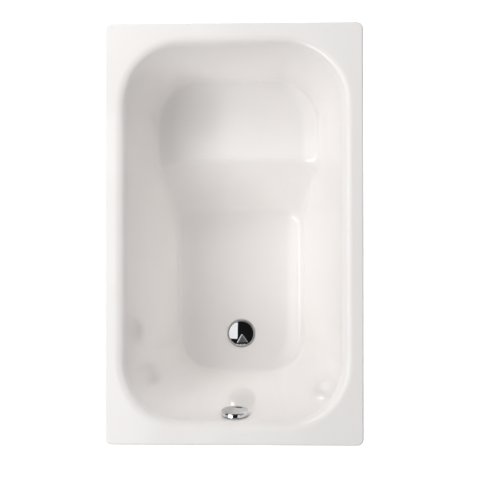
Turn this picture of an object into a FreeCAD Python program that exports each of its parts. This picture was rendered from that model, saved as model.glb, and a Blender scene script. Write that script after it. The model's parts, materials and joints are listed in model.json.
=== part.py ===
"""Sitz bath of enamelled sheet steel: a short stepped bath with a seat at the head end and a deep foot well.

All sizes are in millimetres. X points to the right, Y to the head (seat) end and Z up. The origin is on the
floor under the middle of the rim. The waste lies in the foot well, the overflow in the foot end wall.
"""
import FreeCAD
import Part
import math
import os

# Driving sizes of the steel bath
bath_width = 650.0
bath_length = 1060.0
rim_height = 580.0
well_depth = 420.0
seat_depth = 250.0
sheet = 3.0
skirt_height = 32.0
rim_corner = 18.0
rim_edge_radius = 6.0
lip_radius = 30.0
rim_side = 49.0
rim_foot = 56.0
rim_head = 53.0
opening_corner = 150.0
floor_corner = 95.0
side_draft = 14.5
foot_draft = 14.0
head_draft = 16.0
seat_reach = 317.0
nose_radius = 30.0
riser_lean = 38.0
riser_foot_radius = 90.0
basin_fillet = 50.0
corner_limit_share = 0.85

# Cuts run past the faces that they cut by this much
overrun = 10.0

# Clearances: a turning or sliding fit, a loose hole, and the gap of parts that nearly touch
running_gap = 0.05
loose_gap = 0.5
near_gap = 0.3

# Waste: its place behind the round at the foot end, the pressed recess and the hole
waste_from_round = 60.0
recess_radius = 38.5
recess_depth = 3.0
waste_hole_radius = 27.0

# Strainer flange, its seals and screws
flange_radius = 36.5
flange_thickness = 2.0
upper_seal_thickness = 1.2
lower_seal_thickness = 3.0
cup_radius = 25.5
cup_wall = 2.0
cup_depth = 12.0
cup_floor = 2.5
hub_radius = 7.0
hub_length = 9.0
water_hole_radius = 4.2
water_hole_pitch = 15.5
water_hole_angles = (50.0, 90.0, 130.0, 230.0, 270.0, 310.0)
waste_screw_radius = 2.5
waste_screw_head_radius = 4.3
waste_screw_head = 3.0
waste_screw_length = 26.0
waste_screw_pitch = 17.0

# Plug that the control cable lifts
plug_radius = 34.5
plug_edge = 1.6
plug_rise = 5.0
plug_seal_inner = 22.0
plug_seal_outer = 30.0
plug_seal_thickness = 2.6
stem_radius = 4.0
stem_length = 39.5
plug_side_share = 0.75

# Waste pot under the well
pot_radius = 30.0
pot_wall = 3.0
pot_flange_radius = 42.0
pot_flange_thickness = 4.5
pot_depth = 41.5
pot_boss_radius = 5.5
pot_boss_length = 25.0
outlet_thread_radius = 22.5
outlet_bore_radius = 17.0

# Lever that lifts the plug, and its pin
lever_pin_radius = 2.0
lever_pin_offset = 19.0
lever_hub_radius = 4.4
lever_width = 8.0
lever_thickness = 4.0
lever_tip = 5.0
lever_horn = 9.0
lever_horn_thickness = 3.0

# Overflow: its place in the foot wall, its body, seal, cover and screws
overflow_depth = 60.0
overflow_hole_radius = 27.0
overflow_seal_thickness = 3.0
overflow_flange_radius = 33.0
overflow_flange_thickness = 3.5
overflow_cup_radius = 29.0
overflow_cup_wall = 2.5
overflow_cup_depth = 38.0
bearing_radius = 8.0
bearing_length = 10.0
cover_radius = 30.0
cover_thickness = 2.0
cover_hole_radius = 5.0
cover_hole_pitch = 18.0
cover_hole_angles = (45.0, 90.0, 135.0, 225.0, 270.0, 315.0)
cover_screw_radius = 2.0
cover_screw_head_radius = 3.6
cover_screw_head = 2.2
cover_screw_length = 26.0
cover_screw_pitch = 23.0
cover_boss_radius = 4.5

# Turning knob over the overflow, its spindle and the cable drum
knob_radius = 36.0
knob_wall = 2.2
knob_depth = 15.0
knob_dome = 5.0
knob_gap = 3.2
knob_edge_radius = 4.0
knob_hub_radius = 7.5
notch_radius = 3.0
spindle_radius = 4.0
drum_radius = 12.0
drum_thickness = 6.0
drum_inset = 24.0

# Overflow pipe with its union nuts, seals and clips
pipe_radius = 14.0
pipe_wall = 2.0
pipe_bend_radius = 45.0
union_thread_radius = 16.0
union_thread_length = 24.0
union_inset = 26.0
nut_wall = 3.5
nut_length = 20.0
nut_shoulder = 4.0
nut_rib = 1.4
nut_rib_count = 12
cone_seal_thickness = 4.0
clip_length = 12.0
clip_wall = 2.5
clip_place_shares = (0.36, 0.74)

# Control cable between the knob and the waste pot
cable_radius = 3.0
cable_side = 26.0
cable_inset = 30.0
cable_bend_radius = 60.0
gland_radius = 5.5
gland_length = 30.0
pot_gland_length = 28.0

# Trap under the waste pot, and its outlet pipe
trap_radius = 40.0
trap_wall = 3.0
trap_height = 76.5
trap_neck_radius = 20.0
trap_neck_gap = 5.0
trap_lip_radius = 22.3
trap_lip_thickness = 3.0
trap_seal_thickness = 2.0
trap_dip_gap = 11.0
trap_socket_length = 26.0
trap_socket_wall = 4.0
outlet_pipe_radius = 20.0
outlet_pipe_wall = 1.8
outlet_pipe_length = 130.0
outlet_pipe_grip = 17.0
outlet_free_length = 50.0
outlet_collar = 1.5

# Leg frame: rails, posts and brace
rail_width = 30.0
rail_depth = 25.0
rail_wall = 2.0
rail_end = 24.0
foot_from_edge = 135.0
rail_from_waste = 15.0
rail_from_seat_front = 72.0
post_size = 25.0
post_end_height = 60.0
post_plate = 3.0
brace_height = 120.0
brace_depth = 25.0
brace_thickness = 4.0
cap_thickness = 2.5
cap_plug = 12.0

# Weld studs, washers and nuts that hold the rails to the bath
stud_radius = 4.0
stud_side = 70.0
stud_reach = 12.0
washer_radius = 8.5
washer_thickness = 1.6
stud_nut_flats = 13.0
stud_nut_height = 6.5

# Adjustable feet
spindle_nut_flats = 17.0
spindle_nut_height = 8.0
lock_nut_height = 5.0
foot_spindle_radius = 5.0
foot_spindle_reach = 20.0
post_spindle_reach = 70.0
drive_flats = 14.0
drive_height = 6.0
foot_pad_radius = 24.0
foot_pad_height = 14.0
foot_pad_top_radius = 11.0
foot_pad_base = 4.0
foot_pad_rim = 5.0
spindle_chamfer = 1.0

# Sound deadening sheets glued to the outside of the bath
pad_thickness = 3.0
seat_pad_half_width = 140.0
seat_pad_start = 4.0
seat_pad_gap = 3.0
floor_pad_half_width = 92.0
floor_pad_gap = 8.0
wall_pad_height = 130.0
wall_pad_drop = 60.0
back_pad_half_width = 68.0
side_pad_half_length = 110.0
side_pad_place = 60.0

# Lug for the earth bonding wire
lug_width = 20.0
lug_drop = 22.0
lug_overlap = 18.0
lug_hole_radius = 3.25
lug_hole_from_end = 10.0
lug_place = 110.0

# Levels and places that follow from the sizes above
half_width = bath_width / 2
half_length = bath_length / 2
floor_level = rim_height - well_depth
seat_level = rim_height - seat_depth
floor_under = floor_level - sheet
seat_under = seat_level - sheet
recess_level = floor_level - recess_depth
boss_under = recess_level - sheet
riser_angle = math.radians(riser_lean)
seat_front = half_length - seat_reach
nose_level = seat_level - nose_radius
sweep_level = floor_level + riser_foot_radius
riser_radii = nose_radius + riser_foot_radius
riser_fall = nose_level - sweep_level + riser_radii * math.sin(riser_angle)
sweep_place = seat_front - riser_radii * math.cos(riser_angle) - riser_fall * math.tan(riser_angle)
foot_round = basin_fillet * math.tan(math.radians(90 - foot_draft) / 2)
floor_foot_end = -half_length + rim_foot + well_depth * math.tan(math.radians(foot_draft)) + foot_round
waste_place = floor_foot_end + waste_from_round
foot_side = half_width - foot_from_edge
foot_rail_place = waste_place + pot_flange_radius + rail_from_waste + rail_width / 2
seat_rail_place = seat_front + rail_from_seat_front
flange_level = recess_level + upper_seal_thickness + flange_thickness
pot_top = boss_under - lower_seal_thickness
pot_floor = pot_top - pot_depth
port_level = pot_top - pot_flange_thickness - union_thread_radius - nut_wall - nut_rib - loose_gap
cup_bottom = flange_level - flange_thickness - cup_depth
plug_under = flange_level + near_gap + plug_seal_thickness
stem_bottom = plug_under - stem_length
foot_wall_y = -half_length + rim_foot + overflow_depth * math.tan(math.radians(foot_draft))
foot_wall_z = rim_height - overflow_depth


def vec(x, y, z):
    return FreeCAD.Vector(x, y, z)


def round_bar(radius, length, base, axis=(0, 0, 1)):
    """Solid cylinder from a base point along an axis."""
    return Part.makeCylinder(radius, length, vec(*base), vec(*axis))


def ring(outer, inner, length, base, axis=(0, 0, 1)):
    """Hollow cylinder from a base point along an axis."""
    return round_bar(outer, length, base, axis).cut(round_bar(inner, length, base, axis))


def block(x0, x1, y0, y1, z0, z1):
    return Part.makeBox(x1 - x0, y1 - y0, z1 - z0, vec(x0, y0, z0))


def hexagon(flats, height, base, bore):
    """Hexagonal prism standing on its base point, with a bore along Z."""
    reach = flats / math.sqrt(3)
    corners = [
        vec(base[0] + reach * math.cos(math.radians(a)), base[1] + reach * math.sin(math.radians(a)), base[2])
        for a in range(0, 361, 60)
    ]
    prism = Part.Face(Part.makePolygon(corners)).extrude(vec(0, 0, height))
    if bore > 0:
        prism = prism.cut(round_bar(bore, height, base))
    return prism


def turned(points, centre):
    """Solid of revolution about the Z line through centre, from a list of radius and height pairs."""
    path = [vec(centre[0] + r, centre[1], z) for r, z in points]
    path.append(path[0])
    face = Part.Face(Part.makePolygon(path))
    return face.revolve(vec(centre[0], centre[1], 0), vec(0, 0, 1), 360)


def rounded_outline(left, right, foot, head, corner, level):
    """Wire of a rectangle with four equal round corners."""
    inset = corner * (1 - math.sqrt(0.5))
    spots = (
        ((left + corner, foot), None, (right - corner, foot)),
        ((right - corner, foot), (right - inset, foot + inset), (right, foot + corner)),
        ((right, foot + corner), None, (right, head - corner)),
        ((right, head - corner), (right - inset, head - inset), (right - corner, head)),
        ((right - corner, head), None, (left + corner, head)),
        ((left + corner, head), (left + inset, head - inset), (left, head - corner)),
        ((left, head - corner), None, (left, foot + corner)),
        ((left, foot + corner), (left + inset, foot + inset), (left + corner, foot)),
    )
    edges = []
    for start, middle, end in spots:
        if middle is None:
            edges.append(Part.LineSegment(vec(*start, level), vec(*end, level)).toShape())
        else:
            edges.append(Part.Arc(vec(*start, level), vec(*middle, level), vec(*end, level)).toShape())
    return Part.Wire(edges)


def edges_between(shape, low, high, inside=None):
    """Edges of a shape that lie between two heights, and within a half width if one is given."""
    found = []
    for edge in shape.Edges:
        box = edge.BoundBox
        if box.ZMin < low or box.ZMax > high:
            continue
        if inside is not None and max(-box.XMin, box.XMax) > inside:
            continue
        found.append(edge)
    return found


def wall_outline(depth, offset):
    """Outline of the basin walls at a depth below the rim, offset outwards along the walls' normals."""
    side, foot, head = (math.radians(a) for a in (side_draft, foot_draft, head_draft))
    inner_width = half_width - rim_side - depth * math.tan(side)
    width = inner_width + offset / math.cos(side)
    foot_y = -half_length + rim_foot + depth * math.tan(foot) - offset / math.cos(foot)
    head_y = half_length - rim_head - depth * math.tan(head) + offset / math.cos(head)
    corner = opening_corner + (floor_corner - opening_corner) * depth / well_depth
    corner = min(corner, inner_width * corner_limit_share) + offset
    return rounded_outline(-width, width, foot_y, head_y, corner, rim_height - depth)


def basin(offset, top):
    """Solid that fills the basin: walls from wall_outline, a floor from the step's profile, a round between.

    The profile runs along the seat, over the nose, down the leaning riser and round into the well's floor.
    Its arcs keep their centres, so an offset moves every face by the same distance.
    """
    deep = well_depth + basin_fillet
    walls = Part.makeLoft([wall_outline(-top, offset), wall_outline(deep, offset)], True, True)
    nose = nose_radius - offset
    sweep = riser_foot_radius + offset
    half_turn = (riser_angle + math.pi / 2) / 2

    def at(y, z):
        return vec(-half_width, y, z)

    def around(y, z, radius, angle, sign):
        return at(y - sign * radius * math.cos(angle), z + sign * radius * math.sin(angle))

    corners = (
        at(bath_length, nose_level + nose),
        at(seat_front, nose_level + nose),
        around(seat_front, nose_level, nose, half_turn, 1),
        around(seat_front, nose_level, nose, riser_angle, 1),
        around(sweep_place, sweep_level, sweep, riser_angle, -1),
        around(sweep_place, sweep_level, sweep, half_turn, -1),
        at(sweep_place, sweep_level - sweep),
        at(-bath_length, sweep_level - sweep),
        at(-bath_length, rim_height + top + overrun),
        at(bath_length, rim_height + top + overrun),
    )
    profile = Part.Wire([
        Part.LineSegment(corners[0], corners[1]).toShape(),
        Part.Arc(corners[1], corners[2], corners[3]).toShape(),
        Part.LineSegment(corners[3], corners[4]).toShape(),
        Part.Arc(corners[4], corners[5], corners[6]).toShape(),
        Part.LineSegment(corners[6], corners[7]).toShape(),
        Part.LineSegment(corners[7], corners[8]).toShape(),
        Part.LineSegment(corners[8], corners[9]).toShape(),
        Part.LineSegment(corners[9], corners[0]).toShape(),
    ])
    over_floor = Part.Face(profile).extrude(vec(bath_width, 0, 0))
    room = walls.common(over_floor)
    across = [face for face in room.Faces if spans_the_step(face)]
    chain = []
    for edge in room.Edges:
        touching = sum(any(edge.isSame(other) for other in face.Edges) for face in across)
        if touching == 1:
            chain.append(edge)
    return room.makeFillet(basin_fillet + offset, chain)


def spans_the_step(face):
    """True for the faces of seat, nose, riser and floor, whose normals have no X part and which lie low."""
    u0, u1, v0, v1 = face.ParameterRange
    normal = face.normalAt((u0 + u1) / 2, (v0 + v1) / 2)
    box = face.BoundBox
    level = (seat_level + rim_height) / 2
    crosses = box.YMin > -half_length + rim_foot and box.YMax < half_length - rim_head
    steep_end = abs(normal.z) < math.sin(math.radians(riser_lean)) * math.cos(math.radians(side_draft))
    return abs(normal.x) < running_gap and box.ZMax < level and crosses and not steep_end


def rim_body(inset, top, edge_radius):
    """Block under the rim's outline, with a round edge along its top."""
    bottom = rim_height - skirt_height
    across = half_width - inset
    along = half_length - inset
    outline = rounded_outline(-across, across, -along, along, rim_corner - inset, bottom)
    body = Part.Face(outline).extrude(vec(0, 0, top - bottom))
    return body.makeFillet(edge_radius, edges_between(body, top - running_gap, top + running_gap))


def bath_shell():
    """Pressed and enamelled steel shell: rim with its turned down skirt, walls, seat, riser and well."""
    under = rim_height - sheet
    skirt = rim_body(0, rim_height, rim_edge_radius)
    skirt = skirt.cut(rim_body(sheet, under, rim_edge_radius - sheet))
    outside = skirt.fuse(basin(sheet, -sheet / 2))
    lip_line = half_width - rim_side + sheet * 2
    lip = edges_between(outside, under - running_gap, under + running_gap, lip_line)
    outside = outside.makeFillet(lip_radius - sheet, lip)
    boss_radius = recess_radius + sheet
    outside = outside.fuse(
        round_bar(boss_radius, floor_under - boss_under + sheet / 2, (0, waste_place, boss_under))
    )
    shell = outside.cut(basin(0, overrun))
    lip_line = half_width - rim_side + sheet
    lip = edges_between(shell, rim_height - running_gap, rim_height + running_gap, lip_line)
    shell = shell.makeFillet(lip_radius, lip)
    shell = shell.cut(round_bar(recess_radius, recess_depth + overrun, (0, waste_place, recess_level)))
    shell = shell.cut(
        round_bar(waste_hole_radius, sheet + 2 * overrun, (0, waste_place, boss_under - overrun))
    )
    hole = round_bar(overflow_hole_radius, sheet + 2 * overrun, (0, 0, -sheet - overrun))
    return shell.cut(on_foot_wall(hole))


def on_foot_wall(shape):
    """Move a shape from the overflow's own axes to the foot wall.

    In those axes Z is the wall's normal into the bath, Y runs down the wall and X to the right.
    """
    turn = FreeCAD.Rotation(vec(1, 0, 0), foot_draft - 90)
    place = FreeCAD.Placement(vec(0, foot_wall_y, foot_wall_z), turn)
    return shape.transformed(place.toMatrix(), True)


def wall_point(x, down, inward):
    """Point of the bath's frame from the overflow's own axes."""
    lean = math.radians(foot_draft)
    y = foot_wall_y + down * math.sin(lean) + inward * math.cos(lean)
    z = foot_wall_z - down * math.cos(lean) + inward * math.sin(lean)
    return vec(x, y, z)


def drilled(shape, holes):
    for hole in holes:
        shape = shape.cut(hole)
    return shape


def joined(shapes):
    whole = shapes[0]
    for shape in shapes[1:]:
        whole = whole.fuse(shape)
    return whole.removeSplitter()


def around_axis(radius, angles, centre):
    """Points on a circle about the Z line through centre."""
    return [
        (centre[0] + radius * math.cos(math.radians(a)), centre[1] + radius * math.sin(math.radians(a)))
        for a in angles
    ]


# Waste


def waste_flange():
    """Strainer flange of the waste: a flat ring, a short cup with water holes and the guide of the stem."""
    centre = (0, waste_place)
    under = flange_level - flange_thickness
    body = joined([
        ring(flange_radius, cup_radius - cup_wall, flange_thickness, (*centre, under)),
        ring(cup_radius, cup_radius - cup_wall, cup_depth, (*centre, cup_bottom)),
        round_bar(cup_radius - cup_wall / 2, cup_floor, (*centre, cup_bottom)),
        round_bar(hub_radius, hub_length, (*centre, cup_bottom + cup_floor - hub_length / 2)),
    ])
    spots = around_axis(water_hole_pitch, water_hole_angles, centre)
    through = cup_floor + overrun
    low = cup_bottom - overrun / 2
    holes = [round_bar(water_hole_radius, through, (x, y, low)) for x, y in spots]
    for x, y in around_axis(waste_screw_pitch, (0, 180), centre):
        holes.append(round_bar(waste_screw_radius + running_gap, through, (x, y, low)))
    guide = round_bar(stem_radius + running_gap, hub_length + overrun, (*centre, cup_bottom - hub_length))
    holes.append(guide)
    return drilled(body, holes)


def waste_seal_upper():
    return ring(flange_radius, waste_hole_radius, upper_seal_thickness, (0, waste_place, recess_level))


def waste_seal_lower():
    outer = pot_flange_radius - pot_wall / 2
    return ring(outer, waste_hole_radius, lower_seal_thickness, (0, waste_place, pot_top))


def waste_screws():
    screws = []
    for x, y in around_axis(waste_screw_pitch, (0, 180), (0, waste_place)):
        seat = cup_bottom + cup_floor
        head = round_bar(waste_screw_head_radius, waste_screw_head, (x, y, seat))
        shank = round_bar(waste_screw_radius, waste_screw_length, (x, y, seat - waste_screw_length))
        screws.append(head.fuse(shank).removeSplitter())
    return Part.makeCompound(screws)


def waste_pot():
    """Plastic pot clamped under the well, with ports for the overflow pipe, the cable and the trap."""
    centre = (0, waste_place)
    back = (0, -1, 0)
    gland_base = (cable_side, waste_place - gland_radius * 2, port_level)
    union_length = pot_radius + union_thread_length - pot_wall
    outside = joined([
        round_bar(pot_flange_radius, pot_flange_thickness, (*centre, pot_top - pot_flange_thickness)),
        round_bar(pot_radius, pot_depth + pot_wall, (*centre, pot_floor - pot_wall)),
        round_bar(outlet_thread_radius, outlet_thread_length + pot_wall, (*centre, spigot_end)),
        round_bar(union_thread_radius, union_length, (0, waste_place, port_level), back),
        round_bar(gland_radius, pot_gland_length, gland_base, back),
    ])
    bore = round_bar(pot_radius - pot_wall, pot_depth, (*centre, pot_floor))
    body = outside.cut(bore)
    bosses = []
    boss_top = cup_bottom - loose_gap
    boss_low = boss_top - pot_boss_length
    for side in (-1, 1):
        x = side * waste_screw_pitch
        wall_x = side * (pot_radius - pot_wall / 2)
        bosses.append(round_bar(pot_boss_radius, pot_boss_length, (x, waste_place, boss_low)))
        left, right = sorted((x, wall_x))
        bosses.append(block(left, right, waste_place - pot_wall, waste_place + pot_wall, boss_low, boss_top))
    body = joined([body] + bosses)
    outlet_depth = outlet_thread_length + pot_wall + overrun
    port_base = (0, waste_place - pot_radius / 2, port_level)
    pin_base = (-pot_radius, waste_place - lever_pin_offset, lever_pin_level())
    wire_depth = pot_gland_length + overrun
    holes = [
        round_bar(outlet_bore_radius, outlet_depth, (*centre, spigot_end)),
        round_bar(pipe_radius - pipe_wall, pot_radius + union_thread_length, port_base, back),
        round_bar(lever_pin_radius, pot_radius * 2, pin_base, (1, 0, 0)),
        round_bar(cable_radius / 2, wire_depth, (cable_side, waste_place, port_level), back),
    ]
    screw_low = cup_bottom - waste_screw_length
    for x, y in around_axis(waste_screw_pitch, (0, 180), centre):
        holes.append(round_bar(waste_screw_radius + running_gap, waste_screw_length, (x, y, screw_low)))
    return drilled(body, holes)


def lever_pin_level():
    return stem_bottom - near_gap - lever_thickness / 2


def lever_pin():
    reach = math.sqrt(pot_radius ** 2 - lever_pin_offset ** 2) - near_gap
    base = (-reach, waste_place - lever_pin_offset, lever_pin_level())
    return round_bar(lever_pin_radius, reach * 2, base, (1, 0, 0))


def lift_lever():
    """Bell crank under the stem: the arm lifts the plug, the horn is pulled by the cable's wire."""
    y = waste_place - lever_pin_offset
    z = lever_pin_level()
    half = lever_width / 2
    arm = lever_thickness / 2
    horn = lever_horn_thickness / 2
    body = joined([
        round_bar(lever_hub_radius, lever_width, (-half, y, z), (1, 0, 0)),
        block(-half, half, y, waste_place + lever_tip, z - arm, z + arm),
        block(-horn, horn, y - horn, y + horn, z, z + lever_horn + arm),
    ])
    return body.cut(round_bar(lever_pin_radius + running_gap, lever_width, (-half, y, z), (1, 0, 0)))


def dome(radius, rise, side, base_edge, place):
    """Solid of revolution about a Z line, with an upright side and a spherical top that rises by rise."""
    x, y, low = place
    high = low + side
    ball = (radius ** 2 + rise ** 2) / (2 * rise)
    half_angle = math.asin(radius / ball) / 2
    middle = vec(x + ball * math.sin(half_angle), y, high + rise - ball + ball * math.cos(half_angle))
    face = Part.Face(Part.Wire([
        Part.LineSegment(vec(x, y, low), vec(x + radius, y, low)).toShape(),
        Part.LineSegment(vec(x + radius, y, low), vec(x + radius, y, high)).toShape(),
        Part.Arc(vec(x + radius, y, high), middle, vec(x, y, high + rise)).toShape(),
        Part.LineSegment(vec(x, y, high + rise), vec(x, y, low)).toShape(),
    ]))
    body = face.revolve(vec(x, y, 0), vec(0, 0, 1), 360)
    return body.makeFillet(base_edge, edges_between(body, high - running_gap, high + running_gap))


def plug_cap():
    """Chromed cover of the plug, a shallow dome with a rounded edge."""
    edge = plug_edge * plug_side_share
    return dome(plug_radius, plug_rise, plug_edge, edge, (0, waste_place, plug_under))


def plug_seal():
    return ring(plug_seal_outer, plug_seal_inner, plug_seal_thickness,
                (0, waste_place, plug_under - plug_seal_thickness))


def plug_stem():
    stem = round_bar(stem_radius, stem_length, (0, waste_place, stem_bottom))
    end = edges_between(stem, stem_bottom - running_gap, stem_bottom + running_gap)
    return stem.makeChamfer(spindle_chamfer / 2, end)


# Trap


def union_nut(bore, pipe_bore, base, axis):
    """Plastic union nut with finger ribs: it is threaded over a spigot and its shoulder presses the seal."""
    outer = bore + nut_wall
    nut = round_bar(outer, nut_length, (0, 0, 0))
    ribs = []
    for index in range(nut_rib_count):
        turn = FreeCAD.Rotation(vec(0, 0, 1), index * 360 / nut_rib_count)
        rib = block(outer - nut_rib, outer + nut_rib, -nut_rib, nut_rib, nut_rib, nut_length - nut_rib)
        ribs.append(rib.transformed(FreeCAD.Placement(vec(0, 0, 0), turn).toMatrix(), True))
    nut = joined([nut] + ribs)
    nut = nut.cut(round_bar(bore, nut_length - nut_shoulder, (0, 0, 0)))
    nut = nut.cut(round_bar(pipe_bore, nut_length, (0, 0, 0)))
    turn = FreeCAD.Rotation(vec(0, 0, 1), vec(*axis))
    return nut.transformed(FreeCAD.Placement(vec(*base), turn).toMatrix(), True)


outlet_thread_length = nut_length - nut_shoulder - trap_seal_thickness - trap_lip_thickness + 2 * loose_gap
spigot_end = pot_floor - pot_wall - outlet_thread_length
neck_top = spigot_end - trap_seal_thickness
neck_lip_under = neck_top - trap_lip_thickness
trap_top = neck_top - trap_neck_gap - trap_lip_thickness
trap_bottom = trap_top - trap_height
outlet_level = trap_top - outlet_pipe_radius - trap_socket_wall - loose_gap
outlet_start = trap_radius + trap_socket_length - outlet_pipe_grip + near_gap


def trap_nut():
    base = (0, waste_place, neck_lip_under - nut_shoulder + nut_length)
    return union_nut(outlet_thread_radius, trap_neck_radius + running_gap, base, (0, 0, -1))


def trap_seal():
    return ring(trap_lip_radius, outlet_bore_radius, trap_seal_thickness, (0, waste_place, neck_top))


def trap_body():
    """Low drum trap: the neck dips into the drum, the side socket holds the outlet pipe."""
    centre = (0, waste_place)
    ahead = (0, 1, 0)
    reach = trap_radius + trap_socket_length
    outside = joined([
        round_bar(trap_radius, trap_height, (*centre, trap_bottom)),
        round_bar(outlet_pipe_radius + trap_socket_wall, reach, (*centre, outlet_level), ahead),
        round_bar(trap_neck_radius, neck_top - trap_top + trap_wall, (*centre, trap_top - trap_wall)),
        round_bar(trap_lip_radius, trap_lip_thickness, (*centre, neck_lip_under)),
    ])
    seat_base = (0, waste_place + reach - outlet_pipe_grip, outlet_level)
    shell = drilled(outside, [
        round_bar(trap_radius - trap_wall, trap_height - 2 * trap_wall, (*centre, trap_bottom + trap_wall)),
        round_bar(outlet_pipe_radius - outlet_pipe_wall, reach, (*centre, outlet_level), ahead),
        round_bar(outlet_pipe_radius, outlet_pipe_grip + overrun, seat_base, ahead),
    ])
    dip_bottom = trap_bottom + trap_dip_gap
    dip_length = neck_top - dip_bottom
    shell = joined([shell, round_bar(trap_neck_radius, dip_length, (*centre, dip_bottom))])
    return shell.cut(round_bar(outlet_bore_radius, dip_length + overrun, (*centre, dip_bottom - overrun / 2)))


def outlet_nut():
    start = trap_radius + trap_socket_length + cone_seal_thickness + nut_shoulder - nut_length
    base = (0, waste_place + start, outlet_level)
    return union_nut(outlet_pipe_radius + trap_socket_wall, outlet_pipe_radius + running_gap, base, (0, 1, 0))


def outlet_seal():
    base = (0, waste_place + trap_radius + trap_socket_length, outlet_level)
    outer = outlet_pipe_radius + trap_socket_wall
    return ring(outer, outlet_pipe_radius, cone_seal_thickness, base, (0, 1, 0))


def outlet_pipe():
    """Outlet pipe with a collar that stops the socket pushed over its free end."""
    start = waste_place + outlet_start
    collar_start = start + outlet_pipe_length - outlet_free_length - outlet_collar
    ahead = (0, 1, 0)
    outside = joined([
        round_bar(outlet_pipe_radius, outlet_pipe_length, (0, start, outlet_level), ahead),
        round_bar(outlet_pipe_radius + outlet_collar, outlet_collar, (0, collar_start, outlet_level), ahead),
    ])
    inner = outlet_pipe_radius - outlet_pipe_wall
    return outside.cut(round_bar(inner, outlet_pipe_length, (0, start, outlet_level), ahead))


# Overflow, built in its own axes and then moved to the foot wall

overflow_back = -sheet - overflow_seal_thickness - overflow_cup_depth
spigot_reach = overflow_cup_radius - overflow_cup_wall + union_thread_length


def overflow_seal():
    return on_foot_wall(ring(overflow_flange_radius, overflow_hole_radius + near_gap, overflow_seal_thickness,
                             (0, 0, -sheet - overflow_seal_thickness)))


def overflow_body():
    """Plastic overflow cup behind the wall, with its pipe spigot, cable gland and spindle bearing."""
    front = -sheet - overflow_seal_thickness
    flange_back = front - overflow_flange_thickness
    bore = overflow_cup_radius - overflow_cup_wall
    outside = joined([
        round_bar(overflow_flange_radius, overflow_flange_thickness, (0, 0, flange_back)),
        round_bar(overflow_cup_radius, overflow_cup_depth, (0, 0, overflow_back)),
        round_bar(union_thread_radius, spigot_reach, (0, 0, -union_inset), (0, 1, 0)),
        round_bar(gland_radius, gland_length, (cable_side, gland_radius, -cable_inset), (0, 1, 0)),
    ])
    body = outside.cut(round_bar(bore, overflow_cup_depth, (0, 0, overflow_back + overflow_cup_wall)))
    inner = [round_bar(bearing_radius, bearing_length, (0, 0, overflow_back))]
    boss_base = front - cover_screw_length + sheet
    boss_length = flange_back - boss_base
    for side in (-1, 1):
        inner.append(round_bar(cover_boss_radius, boss_length, (side * cover_screw_pitch, 0, boss_base)))
    body = joined([body] + inner)
    holes = [
        round_bar(pipe_radius - pipe_wall, spigot_reach, (0, bearing_radius * 2, -union_inset), (0, 1, 0)),
        round_bar(cable_radius / 2, gland_length + overrun, (cable_side, 0, -cable_inset), (0, 1, 0)),
        round_bar(spindle_radius + running_gap, bearing_length, (0, 0, overflow_back + overflow_cup_wall)),
    ]
    screw_hole = cover_screw_radius + running_gap
    for side in (-1, 1):
        holes.append(round_bar(screw_hole, cover_screw_length, (side * cover_screw_pitch, 0, boss_base)))
    return on_foot_wall(drilled(body, holes))


def overflow_cover():
    """Clamping cover inside the bath, under the knob, with water holes and a bush for the spindle."""
    body = joined([
        round_bar(cover_radius, cover_thickness, (0, 0, 0)),
        round_bar(bearing_radius, bearing_length, (0, 0, cover_thickness * 2 - bearing_length)),
    ])
    spots = around_axis(cover_hole_pitch, cover_hole_angles, (0, 0))
    through = cover_thickness + overrun
    low = -overrun / 2
    holes = [round_bar(cover_hole_radius, through, (x, y, low)) for x, y in spots]
    for side in (-1, 1):
        holes.append(round_bar(cover_screw_radius + running_gap, through, (side * cover_screw_pitch, 0, low)))
    holes.append(round_bar(spindle_radius + running_gap, bearing_length + overrun, (0, 0, -bearing_length)))
    return on_foot_wall(drilled(body, holes))


def overflow_screws():
    screws = []
    for side in (-1, 1):
        x = side * cover_screw_pitch
        head = round_bar(cover_screw_head_radius, cover_screw_head, (x, 0, cover_thickness))
        tip = (x, 0, cover_thickness - cover_screw_length)
        shank = round_bar(cover_screw_radius, cover_screw_length, tip)
        screws.append(on_foot_wall(head.fuse(shank).removeSplitter()))
    return Part.makeCompound(screws)


def overflow_knob():
    """Chromed turning knob: a shallow hollow dome, notched at its lowest point and pressed on the spindle."""
    side = knob_depth - knob_dome
    body = dome(knob_radius, knob_dome, side, knob_edge_radius, (0, 0, knob_gap))
    hub_base = knob_gap + cover_screw_head
    body = body.cut(round_bar(knob_radius - knob_wall, side - knob_wall, (0, 0, knob_gap)))
    body = joined([body, round_bar(knob_hub_radius, side, (0, 0, hub_base))])
    notch = round_bar(notch_radius, knob_depth + overrun, (0, knob_radius, knob_gap - overrun / 2))
    bore = round_bar(spindle_radius, side - cover_screw_head, (0, 0, hub_base))
    return on_foot_wall(drilled(body, [notch, bore]))


def knob_spindle():
    start = overflow_back + overflow_cup_wall + near_gap
    end = knob_gap + knob_depth - knob_dome
    return on_foot_wall(round_bar(spindle_radius, end - start, (0, 0, start)))


def cable_drum():
    """Grooved drum on the spindle that winds the cable's wire."""
    low = -drum_inset - drum_thickness
    drum = ring(drum_radius, spindle_radius, drum_thickness, (0, 0, low))
    groove = ring(drum_radius + overrun, drum_radius - cable_radius / 2, cable_radius / 2,
                  (0, 0, low + drum_thickness / 2 - cable_radius / 4))
    return on_foot_wall(drum.cut(groove))


# Overflow pipe and control cable: each runs down along the foot wall and bends towards the waste pot


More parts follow.
